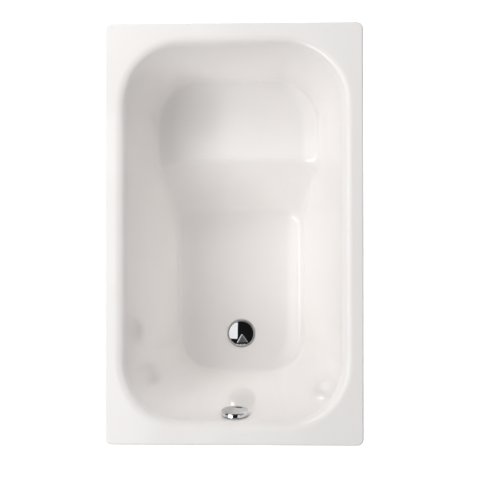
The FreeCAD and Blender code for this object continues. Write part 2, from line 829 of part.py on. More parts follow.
def down_the_wall(radius, x, inset, start, end_y, level, bend):
    """Solid rod along a line down the foot wall, one tangent bend, and a level run to end_y."""
    lean = math.radians(foot_draft)
    begin = wall_point(x, start, -inset)
    fall = vec(0, math.sin(lean), -math.cos(lean))
    corner = begin + fall * ((begin.z - level) / math.cos(lean))
    tangent = bend * math.tan((math.pi / 2 - lean) / 2)
    bend_start = corner - fall * tangent
    bend_end = corner + vec(0, tangent, 0)
    centre = bend_end + vec(0, 0, bend)
    middle = centre + (corner - centre) * (bend / (corner - centre).Length)
    finish = vec(x, end_y, level)
    path = Part.Wire([
        Part.LineSegment(begin, bend_start).toShape(),
        Part.Arc(bend_start, middle, bend_end).toShape(),
        Part.LineSegment(bend_end, finish).toShape(),
    ])
    section = Part.Wire([Part.Circle(begin, fall, radius).toShape()])
    return path.makePipeShell([section], True, False)


pipe_start = spigot_reach + near_gap
pipe_end_y = waste_place - pot_radius - union_thread_length + pot_wall - near_gap


def overflow_pipe():
    route = (0, union_inset, pipe_start, pipe_end_y, port_level, pipe_bend_radius)
    return down_the_wall(pipe_radius, *route).cut(down_the_wall(pipe_radius - pipe_wall, *route))


def pipe_nut_top():
    base = (0, spigot_reach + cone_seal_thickness + nut_shoulder - nut_length, -union_inset)
    return on_foot_wall(union_nut(union_thread_radius, pipe_radius + running_gap, base, (0, 1, 0)))


def pipe_nut_bottom():
    base = (0, pipe_end_y + near_gap - cone_seal_thickness - nut_shoulder + nut_length, port_level)
    return union_nut(union_thread_radius, pipe_radius + running_gap, base, (0, -1, 0))


def pipe_seals():
    sizes = (union_thread_radius, pipe_radius, cone_seal_thickness)
    top = ring(*sizes, (0, spigot_reach, -union_inset), (0, 1, 0))
    bottom = ring(*sizes, (0, pipe_end_y + near_gap, port_level), (0, -1, 0))
    return Part.makeCompound([on_foot_wall(top), bottom])


gland_end = gland_radius + gland_length
cable_end_y = waste_place - gland_radius * 2 - pot_gland_length


def control_cable():
    """Sheath of the control cable, from the overflow's gland to the waste pot's gland."""
    route = (cable_side, cable_inset, gland_end, cable_end_y, port_level, cable_bend_radius)
    return down_the_wall(cable_radius, *route)


def cable_clips():
    """Two plastic clips that hold the cable to the overflow pipe."""
    clips = []
    length = (foot_wall_z - port_level) / math.cos(math.radians(foot_draft))
    low = -cable_inset - clip_wall / 2
    for share in clip_place_shares:
        start = length * share
        outside = joined([
            round_bar(pipe_radius + clip_wall, clip_length, (0, start, -union_inset), (0, 1, 0)),
            round_bar(cable_radius + clip_wall, clip_length, (cable_side, start, -cable_inset), (0, 1, 0)),
            block(0, cable_side, start, start + clip_length, low, low + clip_wall),
        ])
        clips.append(on_foot_wall(drilled(outside, [
            round_bar(pipe_radius, clip_length, (0, start, -union_inset), (0, 1, 0)),
            round_bar(cable_radius, clip_length, (cable_side, start, -cable_inset), (0, 1, 0)),
        ])))
    return Part.makeCompound(clips)


# Leg frame


def rail(place, top):
    """Steel tube across the bath, with holes for the studs and the foot spindles."""
    reach = foot_side + rail_end
    y0 = place - rail_width / 2
    y1 = place + rail_width / 2
    low = top - rail_depth
    tube = block(-reach, reach, y0, y1, low, top)
    tube = tube.makeFillet(rail_wall, [edge for edge in tube.Edges if edge.BoundBox.XLength > reach])
    tube = tube.cut(block(-reach, reach, y0 + rail_wall, y1 - rail_wall, low + rail_wall, top - rail_wall))
    for side in (-1, 1):
        tube = tube.cut(round_bar(stud_radius + loose_gap, rail_depth, (side * stud_side, place, low)))
    return tube


def foot_rail():
    tube = rail(foot_rail_place, floor_under)
    for side in (-1, 1):
        tube = tube.cut(round_bar(foot_spindle_radius + loose_gap, rail_depth,
                                  (side * foot_side, foot_rail_place, floor_under - rail_depth)))
    return tube


def seat_rail():
    return rail(seat_rail_place, seat_under)


def leg_post(side):
    """Square steel post under the seat rail, closed below by a plate that the spindle passes."""
    x = side * foot_side
    y = seat_rail_place
    half = post_size / 2
    top = seat_under - rail_depth
    inner = half - rail_wall
    post = block(x - half, x + half, y - half, y + half, post_end_height, top)
    post = post.makeFillet(rail_wall, [edge for edge in post.Edges if edge.BoundBox.ZLength > half])
    post = post.cut(block(x - inner, x + inner, y - inner, y + inner, post_end_height + post_plate, top))
    return post.cut(round_bar(foot_spindle_radius + loose_gap, post_plate, (x, y, post_end_height)))


def leg_brace():
    """Flat bar welded between the two posts."""
    reach = foot_side - post_size / 2
    back = seat_rail_place - brace_thickness / 2
    return block(-reach, reach, back, back + brace_thickness, brace_height, brace_height + brace_depth)


def rail_caps():
    """Plastic end caps of the two rails."""
    caps = []
    half = rail_width / 2
    inner = half - rail_wall
    for place, top in ((foot_rail_place, floor_under), (seat_rail_place, seat_under)):
        low = top - rail_depth
        for side in (-1, 1):
            end = side * (foot_side + rail_end)
            near, far = sorted((end, end + side * cap_thickness))
            cover = block(near, far, place - half, place + half, low, top)
            near, far = sorted((end, end - side * cap_plug))
            plug = block(near, far, place - inner, place + inner, low + rail_wall, top - rail_wall)
            caps.append(joined([cover, plug]))
    return Part.makeCompound(caps)


def stud_places():
    places = []
    for place, under in ((foot_rail_place, floor_under), (seat_rail_place, seat_under)):
        for side in (-1, 1):
            places.append((side * stud_side, place, under))
    return places


def weld_studs():
    length = rail_depth + washer_thickness + stud_reach
    studs = [round_bar(stud_radius, length, (x, y, under - length)) for x, y, under in stud_places()]
    return Part.makeCompound(studs)


def stud_washers():
    drop = rail_depth + washer_thickness
    return Part.makeCompound([
        ring(washer_radius, stud_radius + running_gap, washer_thickness, (x, y, under - drop))
        for x, y, under in stud_places()
    ])


def stud_nuts():
    drop = rail_depth + washer_thickness + stud_nut_height
    return Part.makeCompound([
        hexagon(stud_nut_flats, stud_nut_height, (x, y, under - drop), stud_radius + running_gap)
        for x, y, under in stud_places()
    ])


# Adjustable feet


def foot_places():
    """Place, bearing level and spindle top of each foot."""
    low = (foot_rail_place, floor_under - rail_depth, floor_under + foot_spindle_reach)
    high = (seat_rail_place, post_end_height, post_end_height + post_spindle_reach)
    return {
        "foot_left": (-foot_side, *low),
        "foot_right": (foot_side, *low),
        "seat_left": (-foot_side, *high),
        "seat_right": (foot_side, *high),
    }


def spindle_nuts():
    bore = foot_spindle_radius + running_gap
    return Part.makeCompound([
        hexagon(spindle_nut_flats, spindle_nut_height, (x, y, level - spindle_nut_height), bore)
        for x, y, level, top in foot_places().values()
    ])


def lock_nuts():
    bore = foot_spindle_radius + running_gap
    drop = spindle_nut_height + lock_nut_height
    return Part.makeCompound([
        hexagon(spindle_nut_flats, lock_nut_height, (x, y, level - drop), bore)
        for x, y, level, top in foot_places().values()
    ])


def foot_pad(x, y):
    """Plastic foot pad with a socket for the spindle's end."""
    outline = [
        (0, 0),
        (foot_pad_radius, 0),
        (foot_pad_radius, foot_pad_rim),
        (foot_pad_top_radius, foot_pad_height),
        (0, foot_pad_height),
    ]
    socket = round_bar(foot_spindle_radius + running_gap, foot_pad_height, (x, y, foot_pad_base))
    return turned(outline, (x, y)).cut(socket)


def foot_spindle(x, y, top):
    """Threaded foot spindle with a hexagon for the spanner just above the pad."""
    bottom = foot_pad_base + near_gap
    drive = hexagon(drive_flats, drive_height, (x, y, foot_pad_height + near_gap), 0)
    rod = round_bar(foot_spindle_radius, top - bottom, (x, y, bottom))
    rod = rod.makeChamfer(spindle_chamfer, edges_between(rod, top - running_gap, top + running_gap))
    return joined([rod, drive])


# Sound deadening sheets and bonding lug


def seat_pad():
    start = seat_front + seat_pad_start
    end = seat_rail_place - rail_width / 2 - seat_pad_gap
    half = seat_pad_half_width
    return block(-half, half, start, end, seat_under - pad_thickness, seat_under)


def floor_pad():
    start = foot_rail_place + rail_width / 2 + floor_pad_gap
    end = sweep_place - floor_pad_gap
    half = floor_pad_half_width
    return block(-half, half, start, end, floor_under - pad_thickness, floor_under)


def on_wall(width_half, place, turn, draft):
    """Flat sheet glued to a wall; place is the wall's outer point at the middle of the sheet's upper edge."""
    sheet_block = block(-width_half, width_half, 0, pad_thickness, -wall_pad_height, 0)
    lean = FreeCAD.Rotation(vec(1, 0, 0), -draft)
    about = FreeCAD.Rotation(vec(0, 0, 1), turn)
    moved = FreeCAD.Placement(place, about.multiply(lean))
    return sheet_block.transformed(moved.toMatrix(), True)


def back_pad():
    lean = math.radians(head_draft)
    y = half_length - rim_head - wall_pad_drop * math.tan(lean) + sheet / math.cos(lean)
    return on_wall(back_pad_half_width, vec(0, y, rim_height - wall_pad_drop), 0, head_draft)


def side_pad(side):
    lean = math.radians(side_draft)
    x = half_width - rim_side - wall_pad_drop * math.tan(lean) + sheet / math.cos(lean)
    place = vec(side * x, side_pad_place, rim_height - wall_pad_drop)
    return on_wall(side_pad_half_length, place, -90 * side, side_draft)


def bonding_lug():
    """Steel tab welded inside the skirt at the head end, its hole below the skirt."""
    bottom = rim_height - skirt_height
    low = bottom - lug_drop
    y = half_length - sheet
    left = lug_place - lug_width / 2
    tab = block(left, left + lug_width, y - sheet, y, low, bottom + lug_overlap)
    hole_base = (lug_place, y - sheet, low + lug_hole_from_end)
    return tab.cut(round_bar(lug_hole_radius, sheet, hole_base, (0, 1, 0)))


def build():
    pieces = {
        "bath_shell": bath_shell(),
        "bonding_lug": bonding_lug(),
        "seat_pad": seat_pad(),
        "floor_pad": floor_pad(),
        "back_pad": back_pad(),
        "side_pad_left": side_pad(-1),
        "side_pad_right": side_pad(1),
        "foot_rail": foot_rail(),
        "seat_rail": seat_rail(),
        "post_left": leg_post(-1),
        "post_right": leg_post(1),
        "leg_brace": leg_brace(),
        "rail_caps": rail_caps(),
        "weld_studs": weld_studs(),
        "stud_washers": stud_washers(),
        "stud_nuts": stud_nuts(),
        "spindle_nuts": spindle_nuts(),
        "lock_nuts": lock_nuts(),
        "waste_flange": waste_flange(),
        "waste_seal_upper": waste_seal_upper(),
        "waste_seal_lower": waste_seal_lower(),
        "waste_screws": waste_screws(),
        "waste_pot": waste_pot(),
        "plug_cap": plug_cap(),
        "plug_seal": plug_seal(),
        "plug_stem": plug_stem(),
        "lift_lever": lift_lever(),
        "lever_pin": lever_pin(),
        "overflow_body": overflow_body(),
        "overflow_seal": overflow_seal(),
        "overflow_cover": overflow_cover(),
        "overflow_screws": overflow_screws(),
        "overflow_knob": overflow_knob(),
        "knob_spindle": knob_spindle(),
        "cable_drum": cable_drum(),
        "overflow_pipe": overflow_pipe(),
        "pipe_nut_top": pipe_nut_top(),
        "pipe_nut_bottom": pipe_nut_bottom(),
        "pipe_seals": pipe_seals(),
        "control_cable": control_cable(),
        "cable_clips": cable_clips(),
        "trap_body": trap_body(),
        "trap_nut": trap_nut(),
        "trap_seal": trap_seal(),
        "outlet_nut": outlet_nut(),
        "outlet_seal": outlet_seal(),
        "outlet_pipe": outlet_pipe(),
    }
    for name, (x, y, level, top) in foot_places().items():
        pieces["pad_" + name] = foot_pad(x, y)
        pieces["spindle_" + name] = foot_spindle(x, y, top)
    return pieces


os.makedirs("parts", exist_ok=True)
for node, shape in build().items():
    if not shape.isValid():
        print("not valid:", node)
    shape.exportStep("parts/" + node + ".step")
    box = shape.BoundBox
    print(f"{node}: {len(shape.Solids)} solids, {shape.Volume:.0f} mm3", end=", ")
    print(f"x {box.XMin:.1f} {box.XMax:.1f}, y {box.YMin:.1f} {box.YMax:.1f}", end=", ")
    print(f"z {box.ZMin:.1f} {box.ZMax:.1f}")
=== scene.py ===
"""Looks of a stepped sitz bath: enamelled steel shell, chromed fittings, plastic waste set, steel legs.

Sizes are written in millimetres, and scaled to metres as the meshes are made. Axes are the frame's: X to the
right, Y to the head (seat) end, Z up, origin on the floor under the middle of the rim.
"""
import json
import math

import bmesh
import bpy
import numpy as np
from mathutils import Matrix, Vector


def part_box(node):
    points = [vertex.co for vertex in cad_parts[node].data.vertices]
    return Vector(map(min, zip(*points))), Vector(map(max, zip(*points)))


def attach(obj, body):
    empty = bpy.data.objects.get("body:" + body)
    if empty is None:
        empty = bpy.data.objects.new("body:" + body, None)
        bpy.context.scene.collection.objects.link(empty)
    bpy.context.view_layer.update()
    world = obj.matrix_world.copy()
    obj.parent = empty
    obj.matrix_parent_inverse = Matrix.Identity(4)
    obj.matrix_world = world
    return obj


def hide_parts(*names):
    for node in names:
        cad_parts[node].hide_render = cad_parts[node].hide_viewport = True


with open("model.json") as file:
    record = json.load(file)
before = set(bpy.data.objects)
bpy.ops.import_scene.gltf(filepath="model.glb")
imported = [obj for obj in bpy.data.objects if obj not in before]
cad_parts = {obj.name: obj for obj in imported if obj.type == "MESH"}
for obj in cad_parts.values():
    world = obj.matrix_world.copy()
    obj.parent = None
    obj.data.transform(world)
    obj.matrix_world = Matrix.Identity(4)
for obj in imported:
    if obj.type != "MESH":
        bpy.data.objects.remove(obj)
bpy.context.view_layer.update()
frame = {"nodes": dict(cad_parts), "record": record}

MM = 0.001
X_WAY, Y_WAY, UP = np.eye(3)


def edges_of(name):
    """Lowest and highest corner of a node's box, in millimetres."""
    return [np.array(corner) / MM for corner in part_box(name)]


# Shell: rim, walls, step and floor, in millimetres and degrees
half_width, half_length, rim_level = edges_of("bath_shell")[1]
sheet = 3.0
skirt_height = 32.0
rim_corner = 18.0
rim_edge_radius = 6.0
lip_radius = 30.0
well_depth = 420.0
seat_depth = 250.0
rim_side, rim_foot, rim_head = 49.0, 56.0, 53.0
opening_corner, floor_corner = 150.0, 95.0
side_draft, foot_draft, head_draft = 14.5, 14.0, 16.0
seat_reach = 317.0
nose_radius = 30.0
riser_lean = math.radians(38.0)
sweep_radius = 90.0
dish_radius = 120.0
crease_radius = 22.0
dish_tilt = math.radians(22.0)

# Waste recess and hole, overflow hole
waste_y = np.mean([corner.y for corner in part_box("plug_stem")]) / MM
recess_radius, recess_depth, recess_round = 38.5, 3.0, 1.0
waste_hole_radius = 27.0
overflow_hole_radius = 27.0
overflow_depth = 60.0

# Where the shell's grids meet: both ends of the step's stretch along Y, the share of the dish that the middle
# of the foot wall leaves to the floor, and half the side of the window round the overflow hole
chord_y, seat_join = -110.0, 238.0
push_share = 0.55
window_half = 46.0

# Levels and slopes that follow
well_level = rim_level - well_depth
seat_level = rim_level - seat_depth
side_slope, foot_slope, head_slope = (
    math.tan(math.radians(draft)) for draft in (side_draft, foot_draft, head_draft)
)
corner_slope = (opening_corner - floor_corner) / well_depth
opening_half = half_width - rim_side
nose_y = half_length - seat_reach
nose_z = seat_level - nose_radius
sweep_z = well_level + sweep_radius
radii = nose_radius + sweep_radius
fall = nose_z - sweep_z + radii * math.sin(riser_lean)
sweep_y = nose_y - radii * math.cos(riser_lean) - fall * math.tan(riser_lean)
foot_wall_y = -half_length + rim_foot
foot_lean = math.radians(foot_draft)
foot_normal = np.array([0, math.cos(foot_lean), math.sin(foot_lean)])
up_foot_wall = np.array([0, -math.sin(foot_lean), math.cos(foot_lean)])
overflow_place = np.array([0, foot_wall_y + overflow_depth * foot_slope, rim_level - overflow_depth])


# Meshes from grids of points


def unit(vectors):
    return vectors / np.linalg.norm(vectors, axis=-1, keepdims=True)


def turn_between(start, end, shares):
    """Unit vectors swept evenly from start to end at the given shares of the angle between them."""
    angle = np.arccos(np.clip((start * end).sum(-1), -1, 1))[..., None, None]
    shares = np.atleast_1d(shares)[..., :, None]
    first = np.sin((1 - shares) * angle) * start[..., None, :]
    last = np.sin(shares * angle) * end[..., None, :]
    return (first + last) / np.maximum(np.sin(angle), 1e-9)


def floor_round(into, floor_normals):
    """Round between wall and floor: a wide dish up to its tilt, then a tight crease up to the wall.

    Returns the normals where the two arcs meet, and the vectors from the floor's edge to the wall's.
    """
    angle = np.arccos(np.clip((into * floor_normals).sum(-1), -1, 1))
    middle = turn_between(floor_normals, into, (dish_tilt / angle)[..., None])[..., 0, :]
    span = dish_radius * floor_normals - (dish_radius - crease_radius) * middle - crease_radius * into
    return middle, span


class Surface:
    """Patches of points with their own normals, welded into one mesh whose faces follow those normals."""

    def __init__(self):
        self.points, self.normals, self.quads, self.slots = [], [], [], []
        self.count = 0

    def add(self, points, normals, slot=0, keep=None):
        """Add a grid of points held row by row; keep is a mask of the cells that stay."""
        rows, columns = points.shape[:2]
        corner = np.arange(rows - 1)[:, None] * columns + np.arange(columns - 1)
        quads = np.stack([corner, corner + 1, corner + columns + 1, corner + columns], axis=-1)
        quads = quads.reshape(-1, 4) if keep is None else quads[keep]
        self.points.append(points.reshape(-1, 3))
        self.normals.append(np.broadcast_to(normals, points.shape).reshape(-1, 3))
        self.quads.append(quads + self.count)
        self.slots.append(np.full(len(quads), slot))
        self.count += rows * columns

    def mesh(self, name):
        """Mesh of all patches, in metres. Points in the same cell of a fine lattice become one.

        The lattice is shifted a little, because round sizes would otherwise lie on the edges of its cells.
        """
        points, normals = np.concatenate(self.points), np.concatenate(self.normals)
        quads, slots = np.concatenate(self.quads), np.concatenate(self.slots)
        diagonals = [points[quads[:, i + 2]] - points[quads[:, i]] for i in (0, 1)]
        inward = (np.cross(*diagonals) * normals[quads].sum(1)).sum(-1) < 0
        quads[inward] = quads[inward, ::-1]
        weld_step, weld_shift = 0.001, 0.000137
        cells = np.floor((points + weld_shift) / weld_step).astype(np.int64)
        first, place = np.unique(cells, axis=0, return_index=True, return_inverse=True)[1:]
        place = place.reshape(-1)
        differs = place[quads] != place[np.roll(quads, 1, axis=1)]
        whole = differs.sum(1)
        faces, corners, used = [], [], []
        for count in (4, 3):
            rows = whole == count
            picked = quads[rows][differs[rows]].reshape(-1, count)
            faces += place[picked].tolist()
            corners.append(normals[picked].reshape(-1, 3))
            used.append(slots[rows])
        mesh = bpy.data.meshes.new(name)
        mesh.from_pydata((points[first] * MM).tolist(), [], faces)
        mesh.polygons.foreach_set("material_index", np.concatenate(used))
        mesh.polygons.foreach_set("use_smooth", np.ones(len(faces), bool))
        mesh.normals_split_custom_set(unit(np.concatenate(corners)).tolist())
        return mesh


def linked(name, data):
    """New object in the scene."""
    made = bpy.data.objects.new(name, data)
    bpy.context.scene.collection.objects.link(made)
    return made


def put(name, mesh, body, slot, replaced):
    """Mesh as a piece that rides on a body and stands for a node, in its slot's finish if it has none."""
    piece = linked(name, mesh)
    if not mesh.materials:
        mesh.materials.append(finishes[slot])
    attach(piece, body)
    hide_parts(replaced)
    return piece


# Materials


def linear(hex_code):
    """Linear colour of an sRGB hex code."""
    parts = (int(hex_code[i:i + 2], 16) / 255 for i in (1, 3, 5))
    return (*(c / 12.92 if c <= 0.04045 else ((c + 0.055) / 1.055) ** 2.4 for c in parts), 1.0)


def node(tree, kind, inputs=(), **settings):
    """Add a node with its settings; inputs pairs a socket's name or number with a value or another output."""
    made = tree.nodes.new(kind)
    for key, value in settings.items():
        setattr(made, key, value)
    for socket, value in dict(inputs).items():
        if isinstance(value, bpy.types.NodeSocket):
            tree.links.new(value, made.inputs[socket])
        else:
            made.inputs[socket].default_value = value
    return made


def new_finish(name, **shader):
    """Material with a Principled shader; returns it, its tree, the shader and Object coordinates."""
    made = bpy.data.materials.new(name)
    made.use_nodes = True
    tree = made.node_tree
    tree.nodes.clear()
    glaze = node(tree, "ShaderNodeBsdfPrincipled", {key.replace("_", " "): v for key, v in shader.items()})
    node(tree, "ShaderNodeOutputMaterial", {"Surface": glaze.outputs[0]})
    place = node(tree, "ShaderNodeTexCoord").outputs["Object"]
    return made, tree, glaze, place


def per_metre(size_mm):
    """Noise scale whose features measure about size_mm."""
    return 1 / (size_mm * MM)


def mottle(tree, place, size_mm, low, high, detail=2.0, low_at=0.35, high_at=0.65):
    """Colour that wanders between two hex colours in soft patches of a given size."""
    noise = node(tree, "ShaderNodeTexNoise", {"Vector": place, "Scale": per_metre(size_mm), "Detail": detail})
    ramp = node(tree, "ShaderNodeValToRGB", {"Fac": noise.outputs[0]})
    for stop, position, colour in zip(ramp.color_ramp.elements, (low_at, high_at), (low, high)):
        stop.position, stop.color = position, linear(colour)
    return ramp.outputs[0]


def rough_between(tree, place, size_mm, low, high, detail=3.0):
    """Roughness that wanders between two values in patches of a given size."""
    noise = node(tree, "ShaderNodeTexNoise", {"Vector": place, "Scale": per_metre(size_mm), "Detail": detail})
    span = node(tree, "ShaderNodeMapRange", {"Value": noise.outputs[0], "From Min": 0.3, "From Max": 0.7,
                                             "To Min": low, "To Max": high})
    return span.outputs[0]


def dents(tree, place, size_mm, height_mm, detail=2.0, under=None):
    """Bump of noise with a feature size and a height, on top of another bump if one is given."""
    noise = node(tree, "ShaderNodeTexNoise", {"Vector": place, "Scale": per_metre(size_mm), "Detail": detail})
    inputs = {"Height": noise.outputs[0], "Distance": height_mm * MM, "Strength": 1.0}
    if under is not None:
        inputs["Normal"] = under
    return node(tree, "ShaderNodeBump", inputs).outputs[0]


def join_finish(tree, glaze, **sockets):
    """Link outputs to the shader's sockets, which are named with _ for a space."""
    for name, output in sockets.items():
        tree.links.new(output, glaze.inputs[name.replace("_", " ")])


def even_finish(name, patch, grain, sheen=None, stretch=None, **shader):
    """Finish of one colour in soft patches, with a fine grain and, if given, a wandering roughness.

    patch is the patches' size and two colours, grain the bumps' size and height, and sheen the size, lowest
    and highest value of the roughness. A stretch divides these sizes along X, Y and Z.
    """
    made, tree, glaze, place = new_finish(name, **shader)
    if stretch:
        place = node(tree, "ShaderNodeMapping", {"Vector": place, "Scale": stretch}).outputs[0]
    join_finish(tree, glaze, Base_Color=mottle(tree, place, *patch), Normal=dents(tree, place, *grain))
    if sheen:
        join_finish(tree, glaze, Roughness=rough_between(tree, place, *sheen))
    return made


def ground_coat():
    """Thin grey ground coat sprayed on the back: satin, slightly rough, with dark specks where it is thin."""
    made, tree, glaze, place = new_finish("enamel_ground_coat", IOR=1.5)
    cloud = mottle(tree, place, 60.0, "#A9ACAF", "#BCBFC1", detail=4.0)
    specks = mottle(tree, place, 2.2, "#6F7377", "#FFFFFF", detail=1.0, low_at=0.26, high_at=0.36)
    mixed = node(tree, "ShaderNodeMix", {0: 1.0, 6: cloud, 7: specks},
                 data_type="RGBA", blend_type="MULTIPLY")
    skin = dents(tree, place, 1.6, 0.04, under=dents(tree, place, 25.0, 0.1))
    sheen = rough_between(tree, place, 30.0, 0.3, 0.45)
    join_finish(tree, glaze, Base_Color=mixed.outputs[2], Roughness=sheen, Normal=skin)
    return made


def galvanised():
    """Hot-dip galvanised steel: flakes of zinc spangle in two greys that catch the light apart."""
    made, tree, glaze, place = new_finish("galvanised_steel_spangled", Metallic=0.9)
    flakes = node(tree, "ShaderNodeTexVoronoi", {"Vector": place, "Scale": per_metre(9.0), "Randomness": 1.0})
    ramp = node(tree, "ShaderNodeValToRGB", {"Fac": flakes.outputs["Color"]})
    for stop, colour in zip(ramp.color_ramp.elements, ("#8E9396", "#C3C7C9")):
        stop.color = linear(colour)
    span = node(tree, "ShaderNodeMapRange", {"Value": flakes.outputs["Color"], "To Min": 0.28, "To Max": 0.5})
    join_finish(tree, glaze, Base_Color=ramp.outputs[0], Roughness=span.outputs[0],
                Normal=dents(tree, place, 6.0, 0.06))
    return made


def bitumen_felt():
    """Bitumen sheet glued on to deaden sound: black brown, dull, grained and slightly uneven."""
    made, tree, glaze, place = new_finish("bitumen_felt_sheet", IOR=1.45)
    colour = mottle(tree, place, 3.0, "#171513", "#37322D", detail=5.0)
    grain = dents(tree, place, 1.4, 0.35, detail=4.0, under=dents(tree, place, 22.0, 0.6))
    sheen = rough_between(tree, place, 8.0, 0.5, 0.85)
    join_finish(tree, glaze, Base_Color=colour, Roughness=sheen, Normal=grain)
    return made


def moulded_plastic(name, low, high, roughness, grain_mm):
    """Injection moulded plastic: an even colour with a soft sheen and the fine grain of the mould."""
    sheen = (12.0, roughness - 0.06, roughness + 0.06)
    return even_finish(name, (40.0, low, high), (grain_mm, 0.02), sheen, IOR=1.49)


finishes = {
    # White glass fused on steel: a clear deep gloss over bright white, with the faint waves of fired glass
    "enamel": even_finish("vitreous_enamel_white", (180.0, "#FBF8F6", "#FDFAF8"), (16.0, 0.006),
                          Roughness=0.08, IOR=1.52),
    "galvanised_steel": galvanised(),
    # Zinc plated steel: a pale bluish metal with a soft satin gloss
    "zinc_fastener": even_finish("zinc_plated_steel", (7.0, "#B4B9BF", "#D2D6DA"), (1.2, 0.015),
                                 (3.0, 0.2, 0.38), Metallic=1.0),
    # Stainless steel, pressed and lightly brushed: grey, with fine streaks that widen its highlights
    "stainless_steel": even_finish("stainless_steel_brushed", (4.0, "#C4C4C3", "#DCDCDB"), (1.5, 0.01),
                                   (2.0, 0.3, 0.45), (1.0, 12.0, 1.0), Metallic=1.0),
    # Chrome over polished die-cast zinc: a cool mirror with hardly any blur
    "chrome": even_finish("chrome_plated_zinc", (30.0, "#D9DBDD", "#E2E3E4"), (9.0, 0.004),
                          Metallic=1.0, Roughness=0.035),
    # Turned brass: warm yellow, with the faint unevenness that a turning tool leaves
    "brass_spindle": even_finish("turned_brass", (5.0, "#B48A3C", "#D0A552"), (0.8, 0.01),
                                 (2.0, 0.18, 0.32), Metallic=1.0),
    # Moulded EPDM rubber: near black and dull, with a light dusting of talc
    "seal_rubber": even_finish("moulded_epdm_rubber", (6.0, "#1B1B1C", "#2C2C2D"), (0.9, 0.03),
                               (4.0, 0.6, 0.8), IOR=1.5),
    "bitumen_sheet": bitumen_felt(),
    "grey_plastic": moulded_plastic("moulded_polypropylene_grey", "#7C8083", "#84888B", 0.38, 1.0),
    "white_plastic": moulded_plastic("moulded_polypropylene_white", "#DEDEDB", "#E6E6E3", 0.34, 1.2),
    "black_plastic": moulded_plastic("moulded_polyamide_black", "#191A1B", "#212223", 0.42, 0.8),
}
back_finish = ground_coat()

for part in frame["record"]["subparts"]:
    coats = frame["nodes"][part["node"]].data.materials
    coats.clear()
    coats.append(finishes[part["material_slot"]])


# The shell


def end_lines(side, reach, slope, join, straight=4, round_steps=42, across=10):
    """Lines down the wall from the right side at join, round one end, to the left side at join.

    side is 1 for the head and -1 for the foot end, reach the end wall's distance from the middle at the rim.
    A line at depth d passes through top + d * drift. It has the wall's outward direction, the wall's slope
    there, and the point of the rim's outline that it starts from. The lines go up the side, round the corner
    and in along the end wall, so one of three shares changes at a time. The left half mirrors the right one.
    """
    up_side = np.concatenate([np.linspace(0, 1, straight + 1)[:-1], np.ones(round_steps + across + 1)])
    run = np.concatenate([np.zeros(straight), np.linspace(0, 1, round_steps + 1)[:-1], np.ones(across + 1)])
    from_middle = np.concatenate([np.ones(straight + round_steps), np.linspace(1, 0, across + 1)])
    way = np.column_stack([np.cos(run * math.pi / 2), np.sin(run * math.pi / 2)])
    corner = np.array([opening_half, reach]) - opening_corner
    growth = np.array([side_slope, slope]) - corner_slope
    base = np.column_stack([corner[0] * from_middle, join + up_side * (corner[1] - join)])

    straight_share, corner_share = 0.36, 0.28
    before = np.clip(run / straight_share, 0, 1)
    turn = np.clip((run - straight_share) / corner_share, 0, 1) * math.pi / 2
    after = np.clip((run - straight_share - corner_share) / straight_share, 0, 1)
    rim_way = np.column_stack([np.cos(turn), np.sin(turn)])
    centre = np.array([half_width, half_length]) - rim_corner
    lines = {
        "top": base + opening_corner * way,
        "drift": -growth * np.column_stack([from_middle, up_side]) - corner_slope * way,
        "out": way,
        "edge": centre + rim_corner * rim_way - np.column_stack([after, 1 - before]) * (centre - base),
        "edge_out": rim_way,
    }
    for key, value in lines.items():
        lines[key] = np.concatenate([value, value[-2::-1] * (-1, 1)]) * (1, side)
    lean = way @ growth + corner_slope
    lines["lean"] = np.concatenate([lean, lean[-2::-1]])
    return lines


def side_lines(places):
    """Upright lines down the right wall at the given places along Y."""
    out = np.tile([1.0, 0.0], (len(places), 1))
    beside = np.column_stack([0 * places, places])
    return {
        "top": beside + opening_half * out, "drift": -side_slope * out, "out": out,
        "edge": beside + half_width * out, "edge_out": out, "lean": side_slope * out[:, 0],
    }


